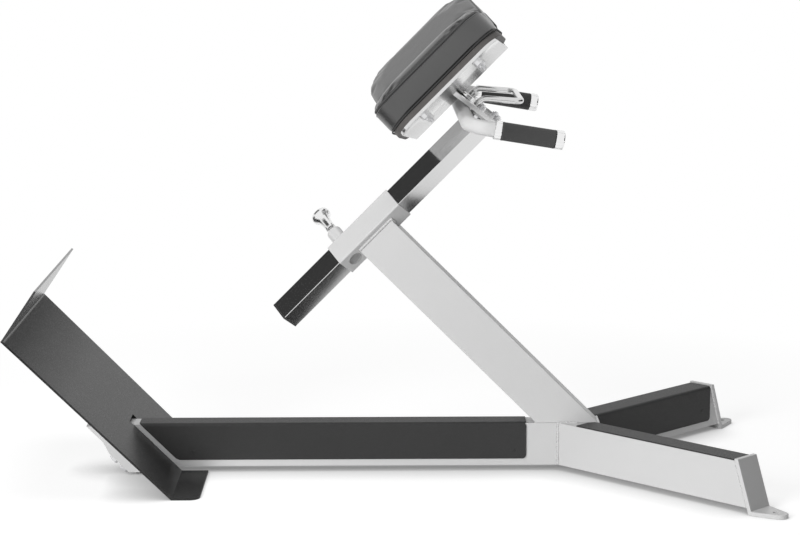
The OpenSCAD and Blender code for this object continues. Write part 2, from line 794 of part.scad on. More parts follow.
// Pad plate, boards, pads and studs
module pad_plate_half() {
    difference() {
        translate([-pad_plate_t, 0, 0]) rotate([90, 0, 90]) linear_extrude(pad_plate_t)
            round_rect(2 * pad_plate_w, pad_plate_len, pad_plate_r);
        translate([-2 * pad_plate_t, -cut_long, -cut_long / 2]) cube([4 * pad_plate_t, cut_long, cut_long]);
    }
}
module at_studs() {
    for (side = [-1, 1], i = [0, 1], j = [-1, 1]) {
        pad_frame(side) translate([0, pad_plate_w - stud_inset - i * stud_pitch_y, j * stud_pitch_v / 2])
            rotate([0, 90, 0]) children();
    }
}
module pad_plate() {
    color("silver") difference() {
        union() {
            for (side = [-1, 1]) pad_frame(side) pad_plate_half();
        }
        at_studs() translate([0, 0, -pad_plate_t - 1]) cylinder(h = pad_plate_t + 2, r = stud_r + hole_gap);
    }
}
board_face = pad_plate_t + board_t;
module pad_outline(inset) {
    round_rect(pad_w - 2 * inset, pad_len - 2 * inset, pad_r - inset);
}
module on_pad(side, depth) {
    pad_frame(side) translate([-depth, pad_inset + pad_w / 2, 0]) rotate([90, 0, 90]) children();
}
insert_r = 5.5;
insert_len = 9;
module pad_board(side) {
    difference() {
        on_pad(side, board_face) linear_extrude(board_t) pad_outline(board_inset);
        at_studs() translate([0, 0, -board_face - 1]) cylinder(h = board_t + 2, r = stud_r + hole_gap / 2);
        at_studs() translate([0, 0, -board_face - 1]) cylinder(h = insert_len + 1, r = insert_r);
    }
}
module pad_board_left() {
    color("#303030") pad_board(1);
}
module pad_board_right() {
    color("#303030") pad_board(-1);
}
pad_layer_t = 0.5;
module pad_layer(z, inset) {
    translate([0, 0, z]) linear_extrude(pad_layer_t, $fn = 32) pad_outline(inset);
}
module pad(side) {
    on_pad(side, board_face + pad_wall) linear_extrude(pad_wall) pad_outline(0);
    on_pad(side, board_face + pad_wall + pad_shoulder) hull() {
        pad_layer(0, pad_slope);
        pad_layer(pad_shoulder * 0.55, pad_slope * 0.35);
        pad_layer(pad_shoulder - pad_layer_t, 0);
    }
}
module pad_left() {
    color("#585858") pad(1);
}
module pad_right() {
    color("#585858") pad(-1);
}
module pad_inserts() {
    color("#707070") at_studs() translate([0, 0, -board_face]) ring(insert_r, stud_r, insert_len);
}
stud_end = 14;
module pad_studs() {
    color("silver") at_studs() translate([0, 0, -board_face]) cylinder(h = board_face + stud_end, r = stud_r);
}
washer_t = 1.6;
washer_r = 8;
lock_nut_h = 8;
module pad_nuts() {
    color("silver") at_studs() {
        ring(washer_r, stud_r + bolt_gap, washer_t);
        translate([0, 0, washer_t]) difference() {
            hex_bar(nut_flats, lock_nut_h);
            translate([0, 0, -1]) cylinder(h = lock_nut_h + 2, r = stud_r + bolt_gap);
        }
    }
}

// Handles and grips
bar_straight = grip_span / 2 - bar_bend;
bar_neck = 7.5;
bar_end = bar_bend + bar_neck + collar_len + grip_len;
module bar_path(r, past) {
    rotate([90, 0, 0]) translate([0, 0, -bar_straight]) cylinder(h = 2 * bar_straight, r = r);
    for (side = [-1, 1]) mirrored(side) {
        translate([bar_bend, bar_straight, 0]) rotate([0, 0, 90]) rotate_extrude(angle = 90)
            translate([bar_bend, 0]) circle(r);
        translate([bar_bend, grip_span / 2, 0]) rotate([0, 90, 0])
            cylinder(h = bar_end - bar_bend + past, r = r);
    }
}
module handlebar() {
    color("silver") bar_frame() difference() {
        bar_path(bar_r, 0);
        bar_path(bar_r - bar_wall, 1);
    }
}
module on_grip(side, start) {
    bar_frame() translate([start, side * grip_span / 2, 0]) rotate([0, 90, 0]) children();
}
grip_start = bar_bend + bar_neck + collar_len;
module grip(side) {
    on_grip(side, grip_start) ring(grip_r, bar_r, grip_len);
}
module grip_left() {
    color("#404040") grip(1);
}
module grip_right() {
    color("#404040") grip(-1);
}
module grip_collars() {
    color("silver") for (side = [-1, 1]) on_grip(side, grip_start - collar_len)
        ring(grip_r + 0.5, bar_r, collar_len);
}
module grip_end_caps() {
    color("silver") for (side = [-1, 1]) on_grip(side, bar_end) rotate_extrude() polygon([
        [0, 0], [grip_r + 0.5, 0], [grip_r + 0.5, grip_cap_len - 1.5],
        [grip_r - 1, grip_cap_len], [0, grip_cap_len]
    ]);
}
saddle_w = 12;
saddle_y = 45;
saddle_len = 18;
module bar_saddles() {
    color("silver") difference() {
        for (side = [-1, 1]) {
            head_frame() translate([-bar_x - saddle_len / 2, side * saddle_y - saddle_w / 2, bar_v])
                cube([saddle_len, saddle_w, cap_v - bar_v]);
        }
        bar_frame() rotate([90, 0, 0]) translate([0, 0, -100]) cylinder(h = 200, r = bar_r);
        cap_frame() translate([-150, -100, -cap_t]) cube([200, 200, 60]);
    }
}

// Each station of the loop handle's rod is its middle, its direction and its upward normal
loop_root = 12;
loop_sides = 16;
loop_turn = 90 - rake + loop_droop;
loop_half = loop_w / 2;
loop_leg_run = loop_leg_len + loop_root - loop_x * tan(cap_tilt);
loop_along = [sin(loop_turn), 0, cos(loop_turn)];
loop_foot = [-loop_x, loop_half, cap_v - loop_root];
loop_hub = loop_foot + [loop_bend, 0, loop_leg_run];
loop_corner = loop_hub + loop_bend * [-cos(loop_turn), -1, sin(loop_turn)] + loop_arm_len * loop_along;
function loop_station(p, t, flat) = [p, t, cross([0, 1, 0], flat)];
function loop_stations() = concat(
    [loop_station(loop_foot, [0, 0, 1], [0, 0, 1])],
    [for (i = [0:8]) let (a = loop_turn * i / 8, t = [sin(a), 0, cos(a)])
        loop_station(loop_hub + loop_bend * [-cos(a), 0, sin(a)], t, t)],
    [for (i = [0:10]) let (a = 9 * i)
        loop_station(loop_corner + loop_bend * (cos(a) * [0, 1, 0] + sin(a) * loop_along),
            cos(a) * loop_along - sin(a) * [0, 1, 0], loop_along)]
);
function across(s) = [[s[0][0], -s[0][1], s[0][2]], [-s[1][0], s[1][1], -s[1][2]], s[2]];
function loop_path() = let (near = loop_stations(), last = len(near) - 1)
    concat(near, [for (i = [0:last]) across(near[last - i])]);
function loop_ring(s) = [
    for (k = [0:loop_sides - 1]) let (a = 360 * k / loop_sides)
        s[0] + loop_r * (cos(a) * s[2] + sin(a) * cross(s[1], s[2]))
];
module loop_rod() {
    path = loop_path();
    last = len(path) - 1;
    polyhedron(
        points = [for (s = path) each loop_ring(s)],
        faces = concat(
            [[for (k = [0:loop_sides - 1]) k]],
            [for (i = [0:last - 1], k = [0:loop_sides - 1]) let (next = (k + 1) % loop_sides)
                [i * loop_sides + k, (i + 1) * loop_sides + k,
                 (i + 1) * loop_sides + next, i * loop_sides + next]],
            [[for (k = [0:loop_sides - 1]) (last + 1) * loop_sides - 1 - k]]
        )
    );
}
module loop_handle() {
    color("silver") difference() {
        head_frame() loop_rod();
        cap_frame() translate([-100, -150, -50]) cube([200, 300, 50]);
    }
}

main_beam();
beam_end_plate();
column();
leg_left();
leg_right();
leg_foot_left();
leg_foot_right();
beam_cover();
leg_cover_left();
leg_cover_right();
cover_screws();
footplate();
footplate_bracket();
bracket_bolts();
rubber_foot();
post_sleeve();
bush_upper();
bush_lower();
access_plug();
inner_post();
post_end_cap();
post_flange();
plunger_housing();
plunger_pin();
plunger_spring();
plunger_knob();
cap_plate();
cap_bolts();
cap_nuts();
bar_saddles();
handlebar();
grip_left();
grip_right();
grip_collars();
grip_end_caps();
loop_handle();
pad_plate();
pad_board_left();
pad_board_right();
pad_left();
pad_right();
pad_inserts();
pad_studs();
pad_nuts();
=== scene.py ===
"""Dresses the packed model of a hyperextension bench for rendering."""

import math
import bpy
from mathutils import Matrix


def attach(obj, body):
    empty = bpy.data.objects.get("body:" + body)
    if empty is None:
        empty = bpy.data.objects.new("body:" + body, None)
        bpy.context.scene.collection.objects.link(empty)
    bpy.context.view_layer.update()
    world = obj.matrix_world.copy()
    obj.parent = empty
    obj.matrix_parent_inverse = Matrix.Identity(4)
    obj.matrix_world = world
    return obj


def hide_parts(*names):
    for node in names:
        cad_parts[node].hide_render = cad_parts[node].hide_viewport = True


bl_info = {
    "name": "Hyperextension Bench",
    "version": (1, 0, 0),
    "blender": (4, 5, 0),
    "location": "3D View > Sidebar > Bench",
    "description": "Finishes, upholstered pads, welds and studio for a hyperextension bench",
    "category": "Object",
}

import bmesh
import bpy
import numpy as np
from bpy.props import FloatProperty, FloatVectorProperty, IntProperty, PointerProperty
from mathutils import Matrix, Vector, noise
from mathutils.bvhtree import BVHTree

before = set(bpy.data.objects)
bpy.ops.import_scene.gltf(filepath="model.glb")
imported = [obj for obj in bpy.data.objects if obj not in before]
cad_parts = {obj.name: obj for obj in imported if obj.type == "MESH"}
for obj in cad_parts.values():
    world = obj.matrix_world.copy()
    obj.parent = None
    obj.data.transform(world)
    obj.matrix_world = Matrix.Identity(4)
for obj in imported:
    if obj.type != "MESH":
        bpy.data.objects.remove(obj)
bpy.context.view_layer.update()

# Measures of the bench, in metres and radians, as the packed model has them
MM = 0.001
QUARTER = math.radians(90)
ROOT2 = math.sqrt(2)
SIDES = ((1, "left"), (-1, "right"))
RAKE = math.radians(45)
SHIFT_X = 21.613 * MM

TUBE_HALF = 25 * MM
BEAM_LOW = 12 * MM
BEAM_TOP = 95 * MM
POST_U = 376.5 * MM
COLUMN_V = (249.5 * MM, 334.9 * MM)
HUB_X = 310.6 * MM
LEG_ANGLE = math.radians(45)
LEG_REACH = 479 * MM
FOOT_LEAN = math.radians(19)
FOOT_RUN = 8 * MM / math.cos(FOOT_LEAN)

COVER_T = 2.5 * MM
SCREW_R = 3.2 * MM
BEAM_SCREW_X = (-406.5 * MM, 214.85 * MM)
BEAM_SCREW_Z = 41 * MM
LEG_SCREW_X = 408.29 * MM
LEG_SCREW_Z = 49 * MM
# Heights where the footplate's painted sheen fades into painted shade under the heel flange, and
# where the heel flange's painted glare sits
FOOTPLATE_SHEEN_FADE_Z = (0.19, 0.29)
HEEL_GLARE_Z = (0.302, 0.306)

SLEEVE_HALF = 25 * MM
PIN_V = 232.3 * MM
HOUSING_WELD_R = 14.6 * MM

HEAD_TURN = math.radians(3)
CAP_TILT = math.radians(7.4)
BAR_X = 44.9 * MM
BAR_V = 580 * MM
BAR_R = 13.75 * MM
BAR_DROOP = math.radians(9.5)
GRIP_SIDE = 255 * MM
GRIP_START = 58.5 * MM
GRIP_LEN = 99 * MM
GRIP_R = 17 * MM
COLLAR_LEN = 13 * MM
COLLAR_R = 17.5 * MM
CAP_LEN = 16 * MM
GROOVE_DEPTH = 1.6 * MM

LOOP_R = 6 * MM
LOOP_HALF = 75 * MM
LOOP_X = 37 * MM
LOOP_ROOT_V = 597.2 * MM
LOOP_START = 8.5 * MM
LOOP_LEG = 24.5 * MM
LOOP_BEND = 16 * MM
LOOP_LEAN = math.radians(50)
LOOP_ARM = 49.5 * MM

FOLD_X = 60 * MM
FOLD_V = 600 * MM
FOLD_ANGLE = math.radians(15)
PAD_INSET = 19 * MM
PAD_W = 193 * MM
PAD_L = 276 * MM
PAD_R = 60 * MM
PAD_WALL = 48 * MM
PAD_SLOPES = ((4.2 * MM, 8.4 * MM), (9.6 * MM, 5.6 * MM))
PAD_ROUND = 835 * MM
PIPING_R = 1.6 * MM
PIPING_INSET = 3.0 * MM
BOARD_FACE = 18 * MM
STUD_Y = (198 * MM, 128 * MM)
STUD_Z = 68 * MM
STUD_END = 14 * MM

# Rounding of the edges that the sidebar doesn't list
PIN_EDGE = 0.4 * MM
BOLT_EDGE = 0.5 * MM
SHEET_EDGE = 0.6 * MM
BOARD_EDGE = 1 * MM
FOLD_EDGE = 1.4 * MM

TOUCHING = 1e-6
WELD_STEP = 0.6 * MM
WELD_RIPPLE_LEN = 6.5 * MM
CLOTH_STEPS = 20

CAMERA_AT = (SHIFT_X, -4.4374, 1.1466)
CAMERA_YAW, CAMERA_PITCH, CAMERA_ROLL = -0.0010, 0.1672, -0.0044
WHITE = (1, 1, 1, 1)
CARD_DISTANCE = 2.0
# Cards for painted dark reflections: name, direction from the bench, start, rail and size
CARDS = (
    ("upper_card", (-0.776, -0.117, 0.606), (0.10, 0.30, 0.57), (1, 0, 1), (2.0, 1.9)),
    ("right_card", (0.96, 0.18, 0.0), (0.65, -0.2, 0.9), (0, 1, 0), (3.0, 1.7)),
)


def move(x, y, z):
    return Matrix.Translation((x, y, z))


def turn(angle, axis):
    return Matrix.Rotation(angle, 4, axis)


# Spaces of the packed model
PLACED = move(SHIFT_X, 0, 0)
RAKED = PLACED @ turn(RAKE, "Y")
POST = RAKED @ move(-POST_U, 0, 0)
PLUNGER = POST @ move(0, 0, PIN_V) @ turn(math.radians(135), "Z") @ turn(QUARTER, "Y")
HEAD = POST @ turn(HEAD_TURN, "Z")
BAR = HEAD @ move(-BAR_X, 0, BAR_V) @ turn(BAR_DROOP - RAKE, "Y")


def leg_space(side):
    """X runs along a leg from the hub, and Z is up."""
    return PLACED @ move(HUB_X, 0, 0) @ turn(side * LEG_ANGLE, "Z")


def fold_space(side):
    """Y runs across one half of the pad plate from its fold, and Z along the post."""
    flip = Matrix.Diagonal((1, side, 1, 1))
    return HEAD @ move(-FOLD_X, 0, FOLD_V) @ flip @ turn(FOLD_ANGLE, "Z")


def pad_space(side):
    """X runs across a pad, Y along it and Z out from its board."""
    out = Matrix(((0, 0, -1, 0), (-1, 0, 0, 0), (0, 1, 0, 0), (0, 0, 0, 1)))
    return fold_space(side) @ move(-BOARD_FACE, PAD_INSET + PAD_W / 2, 0) @ out


class BenchColours(bpy.types.PropertyGroup):
    """Colours of the bench's finishes."""

    silver: FloatVectorProperty(
        name="Silver", description="Powder coat of the frame",
        subtype="COLOR", default=(0.60, 0.60, 0.60), min=0, max=1
    )
    cover: FloatVectorProperty(
        name="Covers", description="Textured coat of the sheet covers",
        subtype="COLOR", default=(0.046, 0.046, 0.046), min=0, max=1
    )
    footplate: FloatVectorProperty(
        name="Footplate", description="Coarse coat of the footplate",
        subtype="COLOR", default=(0.026, 0.026, 0.026), min=0, max=1
    )
    vinyl: FloatVectorProperty(
        name="Vinyl", description="Upholstery of the pads",
        subtype="COLOR", default=(0.03, 0.03, 0.03), min=0, max=1
    )
    rubber: FloatVectorProperty(
        name="Rubber", description="Rubber of the grips",
        subtype="COLOR", default=(0.04, 0.04, 0.04), min=0, max=1
    )


class BenchPads(bpy.types.PropertyGroup):
    """Sizes of the upholstery."""

    voxel: FloatProperty(
        name="Mesh size", description="Size of the mesh that swells",
        unit="LENGTH", default=0.0052
    )
    pressure: FloatProperty(
        name="Filling", description="Pressure of the foam on the cover", default=4.0, min=0
    )
    swell: FloatProperty(
        name="Swell", description="Most that the cover moves", unit="LENGTH", default=0.006
    )
    slack: FloatProperty(
        name="Slack", description="How much smaller the pad starts",
        unit="LENGTH", default=0.003
    )
    seam: FloatProperty(
        name="Seam depth", description="Depth of the sewn seams", unit="LENGTH", default=0.0018
    )
    gather: FloatProperty(
        name="Gathers", description="Height of the folds at the corners",
        unit="LENGTH", default=0.0006
    )
    stitch: FloatProperty(
        name="Stitch", description="Length of a stitch", unit="LENGTH", default=0.0032
    )
    stitch_gap: FloatProperty(
        name="Stitch gap", description="Gap between stitches", unit="LENGTH", default=0.0014
    )


class BenchTrim(bpy.types.PropertyGroup):
    """Sizes of welds, edges and grips."""

    edge: FloatProperty(
        name="Edge", description="Rounding of cut steel edges", unit="LENGTH", default=0.0009
    )
    corner: FloatProperty(
        name="Corner", description="Rounding of tube corners", unit="LENGTH", default=0.0014
    )
    weld: FloatProperty(
        name="Weld", description="Radius of the weld beads", unit="LENGTH", default=0.0031
    )
    grooves: IntProperty(
        name="Grooves", description="Grooves round each metal collar", default=12, min=3
    )


class BenchStudio(bpy.types.PropertyGroup):
    """Light and camera."""

    lens: FloatProperty(
        name="Lens", description="Focal length of the camera in millimetres", default=105.04
    )
    ambient: FloatProperty(
        name="Ambient", description="Strength of the even light", default=0.13, min=0
    )
    key: FloatProperty(
        name="Key", description="Power of the main lamp", subtype="POWER", default=218.0, min=0
    )
    top: FloatProperty(
        name="Top", description="Power of the lamp overhead",
        subtype="POWER", default=30.0, min=0
    )


# Shader maths
class Wire:
    """A value in a node tree; sums and products of wires add Math nodes."""

    def __init__(self, nodes, socket):
        self.nodes = nodes
        self.socket = socket

    def __add__(self, other):
        return self.nodes.maths("ADD", self, other)

    def __sub__(self, other):
        return self.nodes.maths("SUBTRACT", self, other)

    def __rsub__(self, other):
        return self.nodes.maths("SUBTRACT", other, self)

    def __mul__(self, other):
        return self.nodes.maths("MULTIPLY", self, other)

    __radd__ = __add__
    __rmul__ = __mul__


class Nodes:
    """The nodes of a material or of the world, while they are being made."""

    def __init__(self, owner):
        owner.use_nodes = True
        self.tree = owner.node_tree
        self.tree.nodes.clear()

    def node(self, kind, settings=None, inputs=None):
        """Adds a node: its settings are set first, then the values or links of its sockets."""
        made = self.tree.nodes.new("ShaderNode" + kind)
        for key, value in (settings or {}).items():
            if key == "stops":
                ramp = made.color_ramp.elements
                for stop, (place, grey) in zip(ramp, value):
                    stop.position, stop.color = place, (grey, grey, grey, 1)
            else:
                setattr(made, key, value)
        for key, value in (inputs or {}).items():
            if isinstance(value, Wire):
                self.tree.links.new(value.socket, made.inputs[key])
            else:
                made.inputs[key].default_value = value
        return made

    def add(self, kind, settings=None, inputs=None, output=0):
        return Wire(self, self.node(kind, settings, inputs).outputs[output])

    def maths(self, operation, first, second):
        return self.add("Math", {"operation": operation}, {0: first, 1: second})

    def seen(self):
        """1 for the camera's rays and for those that metal or glass sends on."""
        path = self.node("LightPath")
        camera, glossy, through = (
            Wire(self, path.outputs[kind])
            for kind in ("Is Camera Ray", "Is Glossy Ray", "Is Transmission Ray")
        )
        return self.maths("MAXIMUM", self.maths("MAXIMUM", camera, glossy), through)


class Finish(Nodes):
    """A material that is being made."""

    def __init__(self, name):
        self.material = bpy.data.materials.new(name)
        super().__init__(self.material)

    def place(self, scale=(1, 1, 1), rotation=(0, 0, 0)):
        point = self.add("TexCoord", output="Object")
        return self.add("Mapping", {}, {"Vector": point, "Scale": scale, "Rotation": rotation})

    def grain(self, scale, detail=2.0, stretch=(1, 1, 1), rotation=(0, 0, 0)):
        at = self.place(stretch, rotation)
        return self.add("TexNoise", {}, {"Vector": at, "Scale": scale, "Detail": detail})

    def ramp(self, value, low, high):
        return self.add("ValToRGB", {"stops": (low, high)}, {"Fac": value})

    def fade(self, value, span, first=0.0, last=1.0):
        """Goes from first to last while value crosses the span."""
        return self.add("MapRange", {}, {
            "Value": value, "From Min": span[0], "From Max": span[1],
            "To Min": first, "To Max": last
        })

    def tint(self, colour, value, spread):
        """The colour, made darker and lighter by spread as value goes from 0 to 1."""
        dark = [c * (1 - spread) for c in colour] + [1]
        light = [min(1, c * (1 + spread)) for c in colour] + [1]
        return self.blend(value, dark, light)

    def blend(self, share, first, second):
        """Goes from the first colour to the second as share goes from 0 to 1."""
        return self.add(
            "Mix", {"data_type": "RGBA"}, {"Factor": share, 6: first, 7: second}, output=2
        )

    def surface(self, colour, roughness, metallic=0.0, bumps=(), **plain):
        """Ends the material; bumps are (height, strength, distance), and plain are constants."""
        normal = None
        for height, strength, distance in bumps:
            inputs = {"Height": height, "Strength": strength, "Distance": distance}
            if normal is not None:
                inputs["Normal"] = normal
            normal = self.add("Bump", {}, inputs)
        inputs = {"Base Color": colour, "Roughness": roughness, "Metallic": metallic}
        if normal is not None:
            inputs["Normal"] = normal
        inputs.update({key.replace("_", " "): value for key, value in plain.items()})
        shader = self.add("BsdfPrincipled", {}, inputs)
        self.node("OutputMaterial", {}, {"Surface": shader})
        return self.material


def silver_coat(colour):
    f = Finish("satin_silver_powder_coat")
    peel, flake, cloud = f.grain(420, 1), f.grain(2600, 0), f.grain(7, 2)
    base = f.tint(colour, flake * 0.6 + cloud * 0.4, 0.05)
    bumps = [(peel, 0.12, 0.0004), (flake, 0.1, 0.0001)]
    return f.surface(base, 0.34 + cloud * 0.12, 0.12, bumps)


def weld_metal(colour):
    f = Finish("coated_weld")
    lump = f.grain(110, 2)
    base = f.tint(colour, lump, 0.1)
    return f.surface(base, 0.2 + lump * 0.16, 0.35, [(lump, 0.25, 0.0012)])


def satin_steel():
    f = Finish("satin_steel")
    streak, cloud = f.grain(900, 2, (1, 0.03, 1)), f.grain(9, 2)
    base = f.tint((0.70, 0.70, 0.70), streak * 0.5 + cloud * 0.5, 0.07)
    return f.surface(base, 0.16 + cloud * 0.08, 0.92, [(streak, 0.02, 0.0001)])


def polished_metal(name, grey, roughness):
    f = Finish(name)
    haze, scratch = f.grain(14, 3), f.grain(1500, 1, (1, 1, 0.05), (0, RAKE, 0))
    base = f.tint((grey, grey, grey), haze, 0.03)
    wear = roughness + haze * 0.05 + scratch * 0.04
    return f.surface(base, wear, 1.0, [(scratch, 0.02, 0.0001)])


def textured_coat(name, colour, scale, strength, painted_sheen=0.0):
    """Sandy coat; the last argument gives a painted sheen low on the footplate's face that fades
    out towards its top as painted shade under the heel flange, and the heel flange shines fully
    with a painted glare.
    """
    f = Finish(name)
    sand, speck, cloud = f.grain(scale, 3), f.grain(scale * 1.7, 1), f.grain(5, 2)
    glint = f.ramp(speck, (0.54, 0.0), (0.7, 1.0))
    base = f.tint(colour, glint * 0.7 + cloud * 0.3, 0.6)
    weight, level = 0.0, 0.3
    if painted_sheen:
        # Coat weight by height: painted sheen low on the face, painted shade towards its top
        # under the heel flange, painted glare on the heel flange
        point = f.add("TexCoord", output="Object")
        height = f.add("SeparateXYZ", {}, {"Vector": point}, output="Z")
        face = f.fade(height, FOOTPLATE_SHEEN_FADE_Z, painted_sheen, 0.0)
        weight, level = face + f.fade(height, HEEL_GLARE_Z), 0.15
    return f.surface(
        base, 0.56 - glint * 0.14, 0.0, [(sand, strength, 0.0012)],
        Specular_IOR_Level=level, Coat_Weight=weight, Coat_Roughness=0.22
    )


def pad_vinyl(colour):
    f = Finish("grained_vinyl")
    at = f.place()
    cells = f.add("TexVoronoi", {"feature": "DISTANCE_TO_EDGE"}, {"Vector": at, "Scale": 620.0})
    crease, cloud = f.ramp(cells, (0.0, 0.0), (0.12, 1.0)), f.grain(11, 3)
    open_skin = 1 - f.add("Attribute", {"attribute_name": "seam"}, output="Fac")
    skin = f.tint(colour, cloud * 0.5 + crease * 0.5, 0.12)
    # Painted shade: the skin goes near black and loses its sheen in the seam grooves that the
    # seam attribute marks
    base = f.blend(open_skin, (0.004, 0.004, 0.004, 1), skin)
    roughness = 0.75 - open_skin * (0.46 - cloud * 0.06 + crease * 0.02)
    return f.surface(base, roughness, 0.0, [(crease, 0.1, 0.0003)], Specular_IOR_Level=1.0)


def rubber_finish(name, colour, scale):
    f = Finish(name)
    pore, cloud = f.grain(scale, 2), f.grain(12, 2)
    base = f.tint(colour, pore * 0.5 + cloud * 0.5, 0.2)
    return f.surface(base, 0.62 + pore * 0.1, 0.0, [(pore, 0.2, 0.0004)])


def moulded_plastic(name, grey):
    f = Finish(name)
    fine, cloud = f.grain(700, 2), f.grain(18, 2)
    base = f.tint((grey, grey, grey), cloud, 0.1)
    return f.surface(base, 0.42 + fine * 0.12, 0.0, [(fine, 0.08, 0.0002)])


def zinc_plate():
    f = Finish("bright_zinc")
    spangle, fine = f.grain(160, 2), f.grain(1400, 1)
    base = f.tint((0.74, 0.74, 0.75), spangle, 0.06)
    return f.surface(base, 0.18 + spangle * 0.1, 1.0, [(fine, 0.04, 0.0001)])


def stained_plywood():
    f = Finish("stained_plywood")
    tilt = (0, RAKE, 0)
    grain, ply = f.grain(60, 4, (1, 0.06, 1), tilt), f.grain(420, 1, (1, 0.02, 0.02), tilt)
    base = f.tint((0.085, 0.08, 0.077), grain * 0.6 + ply * 0.4, 0.4)
    return f.surface(base, 0.46 + grain * 0.2, 0.0, [(grain, 0.2, 0.0004)])


def sewing_thread():
    f = Finish("sewing_thread")
    twist = f.grain(2400, 1, (1, 0.3, 1))
    return f.surface(f.tint((0.03, 0.03, 0.03), twist, 0.35), 0.6, 0.0, [(twist, 0.4, 0.0002)])


# Mesh helpers
def new_object(name, bm):
    """Turns a bmesh into an object of the scene and frees it."""
    mesh = bpy.data.meshes.new(name)
    bm.to_mesh(mesh)
    bm.free()
    obj = bpy.data.objects.new(name, mesh)
    bpy.context.scene.collection.objects.link(obj)
    return obj


def add_piece(name, bm, body, material, matrix=None, smooth=True):
    """Closes a bmesh into a piece that rides on a body and sits at the origin."""
    if matrix is not None:
        bm.transform(matrix)
    bmesh.ops.remove_doubles(bm, verts=bm.verts, dist=TOUCHING)
    bmesh.ops.recalc_face_normals(bm, faces=bm.faces)
    for face in bm.faces:
        face.smooth = smooth
    piece = new_object(name, bm)
    piece.data.materials.append(material)
    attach(piece, body)
    return piece


def join(whole, part):
    """Adds a bmesh to another one and frees it."""
    mesh = bpy.data.meshes.new("part")
    part.to_mesh(mesh)
    part.free()
    whole.from_mesh(mesh)
    bpy.data.meshes.remove(mesh)


def settle(obj):
    """Applies an object's modifiers."""
    depsgraph = bpy.context.evaluated_depsgraph_get()
    mesh = bpy.data.meshes.new_from_object(obj.evaluated_get(depsgraph))
    obj.modifiers.clear()
    obj.data = mesh


def points_of(mesh):
    return np.array([v.co for v in mesh.vertices], float).reshape(-1, 3)


def soft_edges(obj, width, segments=2):
    """Rounds the cut edges of a piece and evens its shading."""
    weld = obj.modifiers.new("join", "WELD")
    weld.merge_threshold = 2 * TOUCHING
    flat = obj.modifiers.new("flat", "DECIMATE")
    flat.decimate_type = "DISSOLVE"
    flat.angle_limit = math.radians(0.4)
    if width:
        bevel = obj.modifiers.new("edges", "BEVEL")
        bevel.width = width
        bevel.segments = segments
        bevel.limit_method = "ANGLE"
        bevel.angle_limit = math.radians(34)
    obj.modifiers.new("shade", "WEIGHTED_NORMAL")


def paint(nodes, material, edge, segments=2):
    """Gives packed nodes a material and soft edges."""
    for name in nodes:
        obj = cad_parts[name]
        obj.data.materials.clear()
        obj.data.materials.append(material)
        obj.data.shade_smooth()
        soft_edges(obj, edge, segments)


def tube(name, points, radius, body, material, closed=False, ripple=0.0, fineness=2):
    """A rod along points; ripple swells and narrows it as a weld bead does."""
    curve = bpy.data.curves.new(name, "CURVE")
    curve.dimensions = "3D"
    curve.bevel_depth = radius
    curve.bevel_resolution = fineness
    curve.use_fill_caps = not closed
    spline = curve.splines.new("POLY")
    spline.points.add(len(points) - 1)
    spline.use_cyclic_u = closed
    gone = 0.0
    for i, (point, p) in enumerate(zip(spline.points, points)):
        gone += (p - points[i - 1]).length if i else 0.0
        wobble = noise.noise(Vector((gone * 400, 0, 0))) * 0.5
        point.co = (*p, 1)
        point.radius = 1 + ripple * (math.sin(gone / WELD_RIPPLE_LEN * 2 * math.pi) + wobble)
    source = bpy.data.objects.new(name + "_path", curve)
    bpy.context.scene.collection.objects.link(source)
    solid = source.evaluated_get(bpy.context.evaluated_depsgraph_get())
    mesh = bpy.data.meshes.new_from_object(solid)
    bpy.data.objects.remove(source)
    bm = bmesh.new()
    bm.from_mesh(mesh)
    return add_piece(name, bm, body, material)


def along(points, step):
    """Points a step apart on the polyline through points."""
    made = []
    for a, b in zip(points, points[1:]):
        count = max(1, round((b - a).length / step))
        made += [a.lerp(b, i / count) for i in range(count)]
    return made + [points[-1]]


def turned(profile, matrix, segments=48, grooves=0):
    """A bmesh spun from (radius, height) pairs about Z, with grooves along it where asked."""
    bm = bmesh.new()
    verts = [bm.verts.new((r, 0, z)) for r, z in profile]
    edges = [bm.edges.new(pair) for pair in zip(verts, verts[1:])]
    bmesh.ops.spin(
        bm, geom=verts + edges, cent=(0, 0, 0), axis=(0, 0, 1), dvec=(0, 0, 0),
        angle=2 * math.pi, steps=segments, use_merge=True, use_normal_flip=False,
        use_duplicate=False
    )
    bmesh.ops.remove_doubles(bm, verts=bm.verts, dist=TOUCHING)
    if grooves:
        rim = max(r for r, z in profile) * 0.93
        half_width = 0.04
        for vert in bm.verts:
            radius = math.hypot(vert.co.x, vert.co.y)
            share = math.atan2(vert.co.y, vert.co.x) / (2 * math.pi) * grooves
            if radius > rim and abs(share - round(share)) < half_width:
                vert.co.xy *= 1 - GROOVE_DEPTH / radius
    bm.transform(matrix)
    return bm


# Operators
class BENCH_OT_finish_steel(bpy.types.Operator):
    """Gives the steel frame, plates and fasteners their finishes and soft edges"""

    bl_idname = "bench.finish_steel"
    bl_label = "Finish Steel"

    def execute(self, context):
        colours, trim = context.scene.bench_colours, context.scene.bench_trim
        coat = silver_coat(colours.silver)
        paint(["main_beam", "column", "leg_left", "leg_right", "post_sleeve"], coat,
              trim.corner, 3)
        paint(["beam_end_plate", "leg_foot_left", "leg_foot_right", "footplate_bracket",
               "plunger_housing", "post_flange", "bar_saddles"], coat, trim.edge)
        paint(["handlebar"], coat, 0)
        paint(["cap_plate", "pad_plate"], satin_steel(), trim.edge)
        paint(["plunger_pin"], polished_metal("bright_chrome", 0.82, 0.04), PIN_EDGE)
        paint(["inner_post"], polished_metal("polished_post", 0.72, 0.07), SHEET_EDGE)
        zinc = zinc_plate()
        paint(["cap_bolts", "cap_nuts", "bracket_bolts", "pad_nuts"], zinc, BOLT_EDGE)
        paint(["pad_inserts", "plunger_spring"], zinc, 0)
        return {"FINISHED"}


